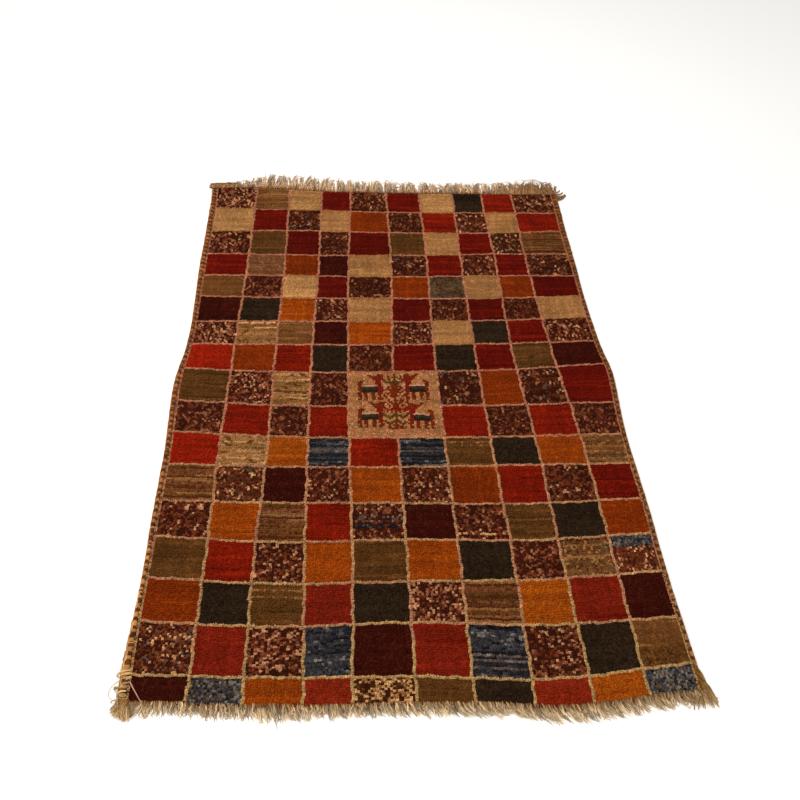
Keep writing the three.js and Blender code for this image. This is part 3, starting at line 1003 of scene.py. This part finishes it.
def makeCord(name, outer, inner, outward):
    own = np.random.default_rng(cords["seed"] + (outward > 0))
    guide = outer(np.float64(0))
    first, last = float(nearEdge(guide)), float(farEdge(guide))
    rings = int((last - first) / cords["wrap"] * cords["ringsToWrap"])
    sides = cords["sides"]
    y = np.linspace(first, last, rings + 1)
    turn = (np.arange(sides) + 0.5) / sides - 0.25
    along = y[:, None]
    phase = along / cords["wrap"] + outward * cords["slant"] * np.sin(2 * np.pi * turn)[None]
    wraps = int(phase.max() - phase.min()) + 4
    which = np.floor(phase - phase.min()).astype(int)
    within = (phase - phase.min()) % 1
    plump = 1 + cords["plump"] * own.standard_normal(wraps)
    ridge = 1 - cords["ridge"] * (1 - np.sin(np.pi * within) ** 0.7)
    half = (np.abs(inner(y) - outer(y)) + cords["out"] - rug["gap"]) / 2
    middle = outer(y) + outward * (cords["out"] - half)
    radius = ridge * plump[which]
    ends = np.minimum(np.arange(rings + 1), np.arange(rings, -1, -1))
    taper = np.sqrt(np.clip((ends + 1.5) / cords["taperRings"], 0, 1))[:, None]
    px = middle[:, None] + outward * half[:, None] * np.cos(2 * np.pi * turn)[None] * radius * taper
    height = (np.sin(2 * np.pi * turn)[None] * radius * taper + 1) / 2 * cords["height"]
    pz = np.maximum(height, cords["floor"])
    points = np.stack([px, np.broadcast_to(along, px.shape), pz], -1).reshape(-1, 3)
    index = np.arange(points.shape[0]).reshape(rings + 1, sides)
    faces = []
    colours = []
    inwardness = -np.cos(2 * np.pi * (turn + 0.5 / sides))
    darkShare = np.interp(y, [first, last], [cords["nearDark"], cords["farDark"]])
    keys = ("nearCamel", "farCamel", "dark", "pale")
    nearCamel, farCamel, dark, pale = (toLinear(cords[key]) for key in keys)
    farness = np.interp(y, cords["camelFrom"], [0, 1])[:, None]
    camel = nearCamel * (1 - farness) + farCamel * farness
    if outward < 0:
        camel = camel * cords["leftLighter"]
    tones = 1 + cords["toneSpread"] * own.standard_normal(wraps)
    uneven = own.uniform(-cords["darkSpread"], cords["darkSpread"], wraps)
    inside = own.uniform(*cords["inside"], wraps)
    palest = own.uniform(*cords["palest"], wraps)
    for r in range(rings):
        nearPale = cords["nearPale"][0] < y[r] < cords["nearPale"][1]
        isPale = outward < 0 and (y[r] > cords["farPale"] or nearPale)
        for s in range(sides):
            after = (s + 1) % sides
            quad = (index[r, s], index[r, after], index[r + 1, after], index[r + 1, s])
            faces.append(quad if outward < 0 else quad[::-1])
            wrap = which[r, s]
            pair = ((phase[r, s] - phase.min()) % 2) / 2
            tone = dark if pair < darkShare[r] + uneven[wrap] else camel[r]
            if inwardness[s] < inside[wrap] or turn[s] < -0.1:
                outer = camel[r] * cords["outerTone"]
                tone = camel[r] + (pale - camel[r]) * palest[wrap] if isPale else outer
            colours.append(tone * tones[wrap])
    faces.append(tuple(index[0][::-1]) if outward < 0 else tuple(index[0]))
    faces.append(tuple(index[-1]) if outward < 0 else tuple(index[-1][::-1]))
    colours += [camel[0], camel[-1]]
    mesh = makeMesh(name, toRow(points), faces)
    cornerColours(mesh, np.array(colours))
    # the wound strip is cut into four and laid side by side on the map
    strips = 4
    layer = mesh.uv_layers.new(name="OFBake")
    ringOf = np.repeat(np.arange(rings), sides)
    strip = np.minimum(ringOf * strips // rings, strips - 1)
    around = np.tile(np.arange(sides), rings)
    order = [(0, 0), (1, 0), (1, 1), (0, 1)]
    if outward > 0:
        order = order[::-1]
    u = np.stack([(strip + (around + a) / sides) / strips for a, _ in order], -1).ravel()
    v = np.stack([(ringOf + b) / rings * strips - strip for _, b in order], -1).ravel()
    caps = np.zeros(sides * 2)
    places = np.c_[np.r_[u, caps], np.clip(np.r_[v, caps], 0, 1)]
    layer.data.foreach_set("uv", places.astype(np.float32).ravel())
    return addPiece(name, mesh, cordWool)


leftSide = makeCord("side_cord_left", leftEdge, pileLeft, -1)
rightSide = makeCord("side_cord_right", rightEdge, pileRight, 1)
print("side cords wound:", len(leftSide.data.polygons) + len(rightSide.data.polygons), "faces")

# The ends: a narrow woven web past the pile, and the loose warp ends that leave it.
fringe = {
    "webDepth": 6.0, "webHeight": 3.9, "webFloor": 0.25, "webStations": 360, "webDents": (0.9, 1.08),
    "webTones": (0.75, 1.1), "ribs": 3, "sides": 4, "bundles": 150, "points": 9, "seed": 31,
    # palest and darkest: a thread's own tone against its neighbours, spread so wide that the palest threads
    # also stand in for painted highlights and the darkest for painted shade between threads.
    "palest": 1.7, "darkest": 0.46,  # a thread against its neighbours
    "rootSpread": 3.4, "leanSpread": 0.15, "gather": (0.2, 1.1), "tones": (0.84, 1.12), "turns": (0.5, 1.6),
    "curl": (0.2, 1.4), "footSpread": (0.6, 1.35), "fall": (7.4, 9.6), "shade": (0.5, 1.1),
    # plies: threads to a bundle, thinnest and thickest, shortest and longest share of the reach
    "far": {
        "plies": [(3, 1.2, 1.9, 0.3, 0.75), (4, 0.7, 1.15, 0.6, 1.05), (3, 0.4, 0.6, 0.8, 1.15)],
        "outward": 1, "shortest": 0.78, "root": (140, 96, 54), "tip": (224, 197, 164), "onPile": 3.0,
        "sway": 3.0, "spread": 5.0, "lift": 3.4, "fade": 0.75, "grow": 2.16, "foot": 14.0,
        "hook": (7.0, 22.0), "round": 0.38, "tipRight": (160, 120, 80),
    },
    "near": {
        "plies": [(3, 1.0, 1.6, 0.3, 0.75), (5, 0.6, 1.0, 0.55, 1.05), (5, 0.35, 0.55, 0.8, 1.15)],
        "outward": -1, "shortest": 0.62, "root": (128, 84, 36), "tip": (240, 216, 176), "onPile": 5.0,
        "sway": 2.6, "spread": 3.2, "lift": 1.2, "fade": 0.75, "grow": 1.05, "foot": 5.5,
        "hook": (0.0, 4.0), "round": 0.1, "tipRight": (234, 208, 166),
    },
}


def makeWeb(name, edge, outward, end):
    stations = fringe["webStations"]
    floor = fringe["webFloor"]
    x = np.linspace(leftEdge(edge(0)) + 0.5, rightEdge(edge(0)) - 0.5, stations + 1)
    own = np.random.default_rng(fringe["seed"] + outward)
    ribs = fringe["ribs"]
    steps = ribs * 4
    across = np.linspace(0, 1, steps + 1)
    rib = np.abs(np.sin(np.pi * across * ribs)) ** 0.6
    rounded = np.clip(0.45 + 2.2 * np.minimum(across, 1 - across), 0, 1)
    height = fringe["webHeight"] * (0.72 + 0.28 * rib) * rounded
    profile = [(a * fringe["webDepth"], h) for a, h in zip(across, height)]
    profile += [(fringe["webDepth"] - 0.4, floor), (0.4, floor)]
    rows = len(profile)
    points = []
    for i, px in enumerate(x):
        dent = own.uniform(*fringe["webDents"])
        for out, z in profile:
            points.append((px, edge(px) + outward * (rug["gap"] + out), floor + (z - floor) * dent))
    faces = []
    colours = []
    root = toLinear(fringe[end]["root"])
    for i in range(stations):
        tone = own.uniform(*fringe["webTones"])
        for p in range(rows):
            after = (p + 1) % rows
            quad = (i * rows + p, (i + 1) * rows + p, (i + 1) * rows + after, i * rows + after)
            faces.append(quad if outward > 0 else quad[::-1])
            colours.append(root * tone)
    start = tuple(range(rows))
    finish = tuple(range(stations * rows, (stations + 1) * rows))
    faces += [start, finish[::-1]] if outward > 0 else [start[::-1], finish]
    colours += [root, root]
    mesh = makeMesh(name, toRow(points), faces)
    cornerColours(mesh, np.array(colours))
    flatMap(mesh, strips=4)
    return addPiece(name, mesh, warpWool)


def makeStrandTree():
    tree, start, end = geometryTree("swept strands", [
        ("Sides", "NodeSocketInt", 4), ("Frizz", "NodeSocketFloat", 0.0005),
        ("Frizz Scale", "NodeSocketFloat", 60.0), ("Seed", "NodeSocketFloat", 1.0),
        ("Material", "NodeSocketMaterial", None),
    ])
    given = start.outputs
    # small bends, sideways only
    place = addNode(tree, "GeometryNodeInputPosition")
    noise = addNode(tree, "ShaderNodeTexNoise", {
        "Vector": place.outputs[0], "Scale": given["Frizz Scale"], "W": given["Seed"], "Detail": 2,
    }, noise_dimensions="4D")
    around = addNode(tree, "ShaderNodeVectorMath", {
        0: noise.outputs["Color"], 1: (0.5, 0.5, 0.5),
    }, operation="SUBTRACT")
    flat = addNode(tree, "ShaderNodeVectorMath", {0: around.outputs[0], 1: (1, 1, 0)}, operation="MULTIPLY")
    amount = addNode(tree, "ShaderNodeVectorMath", {
        0: flat.outputs[0], "Scale": addMath(tree, "MULTIPLY", readNamed(tree, "free"), given["Frizz"]),
    }, operation="SCALE")
    move = addNode(tree, "GeometryNodeSetPosition", {
        "Geometry": given["Geometry"], "Offset": amount.outputs[0],
    })
    curve = addNode(tree, "GeometryNodeMeshToCurve", {"Mesh": move.outputs[0]})
    section = addNode(tree, "GeometryNodeCurvePrimitiveCircle", {
        "Resolution": given["Sides"], "Radius": 1,
    }, mode="RADIUS")
    sweep = addNode(tree, "GeometryNodeCurveToMesh", {
        "Curve": curve.outputs[0], "Profile Curve": section.outputs["Curve"],
        "Scale": readNamed(tree, "thick"), "Fill Caps": True,
    })
    finishTree(tree, start, end, sweep.outputs[0])
    return tree


strandTree = makeStrandTree()


# Threads laid one by one: points x y z in millimetres, radius, first colour, last colour.
extras = {
    "far": [
        ([(497, 800, 4), (500, 824, 3), (496, 848, 3), (484, 862, 2), (464, 868, 1.4), (440, 867, 1.2),
          (420, 872, 1.2)], 0.9, (150, 112, 70), (196, 170, 136)),
        ([(488, 802, 4), (494, 832, 3), (486, 856, 2.6), (468, 874, 2), (448, 874, 1.4)],
         0.8, (150, 112, 70), (196, 170, 136)),
        ([(505, 790, 6), (522, 796, 4), (534, 804, 3), (541, 814, 2)], 2.6, (120, 78, 38), (160, 120, 78)),
        ([(508, 784, 6), (526, 786, 4), (540, 793, 3), (548, 802, 2)], 2.8, (120, 78, 38), (156, 114, 70)),
        ([(514, 762, 5), (526, 760, 4), (538, 766, 3), (549, 778, 2.4), (555, 787, 2)],
         3.0, (112, 70, 32), (150, 108, 62)),
        ([(514, 769, 5), (529, 768, 4), (541, 775, 3), (551, 785, 2)], 3.0, (118, 76, 38), (150, 110, 64)),
        ([(513, 776, 5), (532, 776, 4), (545, 783, 3), (553, 792, 2)], 2.6, (118, 76, 38), (150, 110, 64)),
    ],
    "near": [
        ([(-516, -708, 3), (-526, -714, 1.6), (-533, -724, 1.4), (-534, -735, 1.2), (-527, -743, 1.2),
          (-516, -746, 1.6)], 0.6, (206, 182, 152), (216, 196, 170)),
        ([(-498, -717, 11.8), (-491, -728, 12), (-484, -738, 12), (-477, -748, 12), (-470, -757, 11)],
         1.2, (196, 148, 130), (180, 126, 104)),
    ],
}


def makeStrands(end, edge, reachAt, leanAt):
    kind = fringe[end]
    own = np.random.default_rng(fringe["seed"] + 7 * kind["outward"])
    outward = kind["outward"]
    count = fringe["points"]
    share = np.linspace(0, 1, count)
    root, tipLeft, tipRight = (toLinear(kind[key]) for key in ("root", "tip", "tipRight"))
    points, edges, thick, colours, free = [], [], [], [], []

    def addThread(path, radii, tones, freedom):
        first = len(points)
        path = np.array(path, float)
        path[:, 2] = np.maximum(path[:, 2], np.asarray(radii) + 0.06)
        points.extend(path)
        edges.extend((first + i, first + i + 1) for i in range(len(path) - 1))
        thick.extend(radii)
        colours.extend(tones)
        free.extend(freedom)

    left, right = leftEdge(edge(0)) + 2.5, rightEdge(edge(0)) - 2.5
    for i in range(fringe["bundles"]):
        x = left + (right - left) * i / (fringe["bundles"] - 1)
        waves = 0.5 + 0.25 * np.sin(i * 0.83 + 1) + 0.25 * np.sin(i * 0.37)
        fullness = kind["shortest"] + (1.02 - kind["shortest"]) * (0.5 * waves + 0.5 * own.random())
        reach = reachAt(x) * fullness * kind["grow"]
        lean = leanAt(x) + own.uniform(-fringe["leanSpread"], fringe["leanSpread"])
        gather = own.uniform(*fringe["gather"])
        hook = own.choice((-1, 1)) * own.uniform(*kind["hook"]) * np.interp(abs(x), (460, 510), (1, 0.15))
        hook *= np.interp(x, (-100, 300), (0.6, 1))
        tone = own.uniform(*fringe["tones"])
        rightness = np.interp(x, (330, 430), (0, 1))
        tip = tipLeft * (1 - rightness) + tipRight * rightness
        for threads, thinnest, thickest, shortest, longest in kind["plies"]:
            for _ in range(threads):
                rootX = x + own.uniform(-fringe["rootSpread"], fringe["rootSpread"])
                rootY = edge(rootX) - outward * own.uniform(-2.0, kind["onPile"])
                length = reach * own.uniform(shortest, longest)
                spread = own.normal(0, kind["spread"]) * gather
                tipX = rootX + (x - rootX) * (1 - gather) * 0.6 + lean * length + spread
                sway = own.normal(0, kind["sway"])
                turns = own.uniform(*fringe["turns"])
                phase = own.uniform(0, 2 * np.pi)
                bend = sway * (np.sin(2 * np.pi * turns * share + phase) - np.sin(phase)) * share
                curl = hook * own.uniform(*fringe["curl"])
                px = rootX + (tipX - rootX) * share**1.2 + bend + curl * share**2.6
                outwards = length + abs(edge(rootX) - rootY)
                py = rootY + outward * outwards * (share - kind["round"] * share**3)
                out = outward * (py - edge(px))
                radius = own.uniform(thinnest, thickest)
                radii = radius * (0.8 + 0.5 * np.sin(np.pi * np.clip(share * 1.1, 0, 1)))
                radii = radii * (1 - 0.5 * share**2)
                rest = radii * 0.75 + 0.2
                layer = own.uniform(0, kind["lift"]) * np.sin(np.pi * np.clip(share * 1.2, 0, 1))
                foot = kind["foot"] * own.uniform(*fringe["footSpread"])
                fall = own.uniform(*fringe["fall"]) * np.exp(-((np.clip(out + 1, 0, 99) / foot) ** 1.3))
                pz = rest + layer + fall
                shade = share[:, None] ** kind["fade"] * own.uniform(*fringe["shade"])
                tones = (root + (tip - root) * np.clip(shade, 0, 1)) * tone
                # each thread's own tone, spread wide enough to paint highlights on the palest threads and
                # shade on the darkest
                tones = tones * np.exp(own.uniform(np.log(fringe["darkest"]), np.log(fringe["palest"])))
                addThread(np.c_[px, py, pz], radii, tones, share)
    for path, radius, first, last in extras[end]:
        path = np.array(path, float)
        rounds = np.linspace(0, len(path) - 1, len(path) * 3)
        smooth = np.stack([curveThrough(np.arange(len(path)), path[:, k])(rounds) for k in range(3)], -1)
        t = np.linspace(0, 1, len(smooth))
        tones = toLinear(first) + (toLinear(last) - toLinear(first)) * t[:, None]
        addThread(smooth, radius * (1 - 0.35 * t), tones, 0.3 * t)
    if end == "far":
        addFarCorners(addThread, own)
    else:
        addFrayedEdge(addThread, own)
        addCornerLoops(addThread, own)
        addCornerFans(addThread, own)
    base = pointBase("strand paths", toRow(points), [
        ("yarn", "FLOAT_COLOR", opaque(np.array(colours))),
        ("thick", "FLOAT", np.array(thick) / 1000), ("free", "FLOAT", free),
    ], edges)
    mesh = grow(base, strandTree, {
        "Sides": fringe["sides"], "Frizz": 0.005, "Frizz Scale": 70.0, "Seed": float(outward) + 3,
        "Material": warpWool,
    })
    flatMap(mesh, strips=5)
    return addPiece(f"strands_{end}", mesh, warpWool)


# The loose threads of the corners. Places are in millimetres, colours red, green and blue out of 255.
# Tones and radii are the least and the most, thinner the share of the radius lost towards the tip, and free
# how much the small bends move the tip.
corners = {
    "farLeft": {
        "threads": 90, "from": (-500, -450), "to": (-533, -505), "bow": 2.5, "thinner": 0.45, "free": 0.6,
        "colour": (140, 96, 56), "tones": (0.45, 1.35), "radii": (0.7, 1.8),
    },
    "farRight": {
        "threads": 150, "from": (340, 514), "edge": 780, "reach": (20, 66), "bow": 6, "thinner": 0.4,
        "free": 0.6, "colour": (154, 114, 72), "tones": (0.5, 1.4), "radii": (0.6, 1.6),
    },
    "frayed": {
        "threads": 90, "between": (-722, -560), "out": (6.5, 1.5), "length": (12, 30), "thinner": 0,
        "free": 0.3, "colour": (182, 136, 86), "tones": (0.5, 1.25), "radii": (0.5, 0.95),
    },
    "loops": {
        "rows": 9, "first": -696, "step": 7.2, "root": -498, "size": (10, 24), "height": (9.6, 9.0, 2.6),
        "colour": (206, 166, 110), "bright": (0.5, 1.15), "tones": (0.75, 1.15), "radii": (0.7, 1.5),
    },
    "nearLeft": {
        "threads": 120, "from": (-494, -744), "fromSpread": (-18, -12), "to": (-527, -757),
        "toSpread": (34, -22), "high": 9.5, "rise": 3, "fade": 0.8, "shade": (0.1, 1.1),
        "root": (132, 88, 40), "tip": (236, 208, 160), "tones": (0.55, 1.4), "radii": (0.6, 1.9),
    },
    "nearRight": {
        "threads": 150, "from": (509, -706), "to": (521, -736), "low": (536, -774), "lowShare": 0.35,
        "high": 8.5, "rise": 2.4, "fade": 1.6, "shade": (0.2, 1.1),
        "root": (122, 82, 36), "tip": (224, 190, 138), "tones": (0.5, 1.35), "radii": (0.6, 1.6),
    },
}
cornerTurn = np.linspace(0, 1, 8)
loopTurn = np.linspace(0, 1, 12)


def bowedPath(own, start, finish, bow):
    bulge = own.normal(0, bow, 2) * np.sin(np.pi * cornerTurn)[:, None]
    return start + (finish - start) * cornerTurn[:, None] + bulge


def addPlainThread(addThread, own, kind, path):
    tone = toLinear(kind["colour"]) * own.uniform(*kind["tones"])
    radii = own.uniform(*kind["radii"]) * (1 - kind["thinner"] * cornerTurn)
    addThread(path, radii, np.tile(tone, (len(cornerTurn), 1)), cornerTurn * kind["free"])


# The far corners: brown warp ends combed outwards at the left, and a thick brown tangle at the right.
def addFarCorners(addThread, own):
    kind = corners["farLeft"]
    for _ in range(kind["threads"]):
        level = own.uniform(0, 1)
        start = np.array((own.uniform(*kind["from"]), 799 + 34 * level))
        finish = np.array((own.uniform(*kind["to"]), 806 + 27 * level + own.normal(0, 2)))
        path = bowedPath(own, start, finish, kind["bow"])
        pz = own.uniform(3, 9) * (1 - 0.5 * level) * (1 - 0.6 * cornerTurn) + 1.2
        addPlainThread(addThread, own, kind, np.c_[path, pz])
    kind = corners["farRight"]
    for _ in range(kind["threads"]):
        start = np.array((own.uniform(*kind["from"]), kind["edge"]))
        finish = start + np.array((own.normal(2, 13), own.uniform(*kind["reach"])))
        path = bowedPath(own, start, finish, kind["bow"])
        pz = own.uniform(5, 9) * (1 - cornerTurn) ** 0.8 + 2
        addPlainThread(addThread, own, kind, np.c_[path, pz])


# Loose pale wool along the outside of the left side cord, towards its lower end.
def addFrayedEdge(addThread, own):
    kind = corners["frayed"]
    for _ in range(kind["threads"]):
        y = own.uniform(*kind["between"])
        length = own.uniform(*kind["length"])
        out = np.interp(y, kind["between"], kind["out"]) * own.uniform(0.3, 1)
        py = y - length * cornerTurn
        px = leftEdge(py) + own.uniform(0.5, 2.5) - out * np.sin(np.pi * cornerTurn * own.uniform(0.7, 1))
        pz = own.uniform(1.5, 7) * (1 - 0.4 * cornerTurn) + 0.6
        addPlainThread(addThread, own, kind, np.c_[px, py, pz])


# The frayed lower end of the left side cord: uneven curls of pale wool across it, two to five in a row.
def addCornerLoops(addThread, own):
    kind = corners["loops"]
    for i in range(kind["rows"]):
        level = kind["first"] - i * kind["step"] + own.uniform(-2.5, 2.5)
        bow = own.uniform(-1, 9)
        size = own.uniform(*kind["size"])
        bright = own.uniform(*kind["bright"])
        for _ in range(own.integers(2, 6)):
            y = level + own.uniform(-1.5, 1.5)
            start = kind["root"] + own.uniform(-5, 1)
            px = start - size * np.sin(np.pi * 0.62 * loopTurn) * own.uniform(0.85, 1.15)
            py = y + bow * (np.cos(np.pi * 0.9 * loopTurn) - 1) * 0.5
            py = py + own.normal(0, 1) * np.sin(2 * np.pi * loopTurn)
            pz = np.interp(loopTurn, (0, 0.4, 1), kind["height"]) + own.uniform(-0.6, 1.0)
            tone = toLinear(kind["colour"]) * bright * own.uniform(*kind["tones"])
            radii = own.uniform(*kind["radii"]) * (0.7 + 0.5 * np.sin(np.pi * loopTurn))
            tones = np.tile(tone, (len(loopTurn), 1))
            addThread(np.c_[px, py, pz], radii, tones, np.full(len(loopTurn), 0.5))


def addFanThread(addThread, own, kind, start, finish):
    path = bowedPath(own, start, finish, 2)
    fall = own.uniform(5, kind["high"]) * (1 - cornerTurn) ** 1.4
    pz = fall + own.uniform(0, kind["rise"]) * np.sin(np.pi * cornerTurn) + 1.3
    root, tip = toLinear(kind["root"]), toLinear(kind["tip"])
    tone = root + (tip - root) * (cornerTurn[:, None] ** kind["fade"]) * own.uniform(*kind["shade"])
    radii = own.uniform(*kind["radii"]) * (1 - 0.45 * cornerTurn)
    addThread(np.c_[path, pz], radii, tone * own.uniform(*kind["tones"]), cornerTurn * 0.7)


# Both near corners splay out: golden at the left, olive brown at the right.
def addCornerFans(addThread, own):
    kind = corners["nearLeft"]
    for _ in range(kind["threads"]):
        t = own.uniform(0, 1)
        start = kind["from"] + np.multiply(kind["fromSpread"], own.uniform(0, 1, 2))
        finish = kind["to"] + np.multiply(kind["toSpread"], (t, t**0.6)) + own.normal(0, 2.6, 2)
        addFanThread(addThread, own, kind, start, finish)
    kind = corners["nearRight"]
    (startX, startY), (finishX, finishY), (lowX, lowY) = (kind[key] for key in ("from", "to", "low"))
    for _ in range(kind["threads"]):
        t = own.uniform(0, 1)
        start = np.array((startX + own.uniform(0, 5), startY - 52 * t))
        finish = np.array((finishX + 16 * t + own.uniform(-3, 2), finishY - 34 * t - own.uniform(0, 15)))
        if own.random() < kind["lowShare"]:
            finish = np.array((lowX - 60 * own.random() ** 1.5, lowY - own.uniform(4, 18)))
        addFanThread(addThread, own, kind, start, finish)


strandsFar = makeStrands("far", farEdge, farReach, farLean)
strandsNear = makeStrands("near", nearEdge, nearReach, nearLean)
webFar = makeWeb("web_far", farEdge, 1, "far")
webNear = makeWeb("web_near", nearEdge, -1, "near")
print("fringes laid:", len(strandsFar.data.polygons) + len(strandsNear.data.polygons), "faces")

for piece, node, slot in (
    (pileGround, "pile_field", "pile_wool"), *((o, "pile_field", "pile_wool") for o in pileKnots),
    (leftSide, "selvedge_left", "selvedge_wool"), (rightSide, "selvedge_right", "selvedge_wool"),
    (webFar, "fringe_far", "warp_wool"), (strandsFar, "fringe_far", "warp_wool"),
    (webNear, "fringe_near", "warp_wool"), (strandsNear, "fringe_near", "warp_wool"),
):
    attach(piece, "root")
    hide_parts(node)
print("pieces placed on the frame")

# The stage: a plain pale floor under soft light, and the camera where the photo was taken from.
stage = {
    "floorColour": (0.93, 0.925, 0.91, 1), "floorSize": 8.0, "floorLevel": -0.0004, "world": 0.78,
    "lampPlace": (-0.9, 0.3, 2.6), "lampSize": 2.4, "lampPower": 62.0, "lampColour": (1, 0.97, 0.93),
    "cameraPlace": (-0.11275, -1.29962, 1.39284), "lens": 36.0, "sensor": 36.0,
    "right": (0.99803052, -0.04671163, 0.04187017),
    "down": (-0.00686935, -0.74483177, -0.66721694),
    "forward": (0.06235303, 0.66561525, -0.74368571),
}


def makeStage():
    half = stage["floorSize"] / 2
    level = stage["floorLevel"]
    corners = [(-half, -half, level), (half, -half, level), (half, half, level), (-half, half, level)]
    mesh = makeMesh("floor", corners, [(0, 1, 2, 3)])
    floor = bpy.data.objects.new("floor", mesh)
    bpy.context.scene.collection.objects.link(floor)
    paint = bpy.data.materials.new("plain floor")
    paint.use_nodes = True
    shader = paint.node_tree.nodes["Principled BSDF"]
    shader.inputs["Base Color"].default_value = stage["floorColour"]
    shader.inputs["Roughness"].default_value = 0.9
    shader.inputs["Specular IOR Level"].default_value = 0.1
    mesh.materials.append(paint)
    world = bpy.data.worlds.new("pale room")
    world.use_nodes = True
    world.node_tree.nodes["Background"].inputs["Color"].default_value = (1, 0.99, 0.975, 1)
    world.node_tree.nodes["Background"].inputs["Strength"].default_value = stage["world"]
    bpy.context.scene.world = world
    lamp = bpy.data.lights.new("soft lamp", "AREA")
    lamp.size = stage["lampSize"]
    lamp.energy = stage["lampPower"]
    lamp.color = stage["lampColour"]
    holder = bpy.data.objects.new("soft lamp", lamp)
    holder.location = stage["lampPlace"]
    holder.rotation_euler = (Vector((0, 0, 0)) - holder.location).to_track_quat("-Z", "Y").to_euler()
    bpy.context.scene.collection.objects.link(holder)
    bpy.context.scene.view_settings.view_transform = "Standard"


def makeCamera():
    data = bpy.data.cameras.new("camera")
    data.sensor_width = stage["sensor"]
    data.lens = stage["lens"]
    data.clip_start = 0.05
    data.clip_end = 50
    camera = bpy.data.objects.new("camera", data)
    bpy.context.scene.collection.objects.link(camera)
    up = [-v for v in stage["down"]]
    backward = [-v for v in stage["forward"]]
    turned = Matrix([stage["right"], up, backward]).transposed()
    place = Vector(stage["cameraPlace"]) + Vector(shift / 1000)
    camera.matrix_world = Matrix.Translation(place) @ turned.to_4x4()
    bpy.context.scene.camera = camera


makeStage()
makeCamera()
print("stage and camera set")
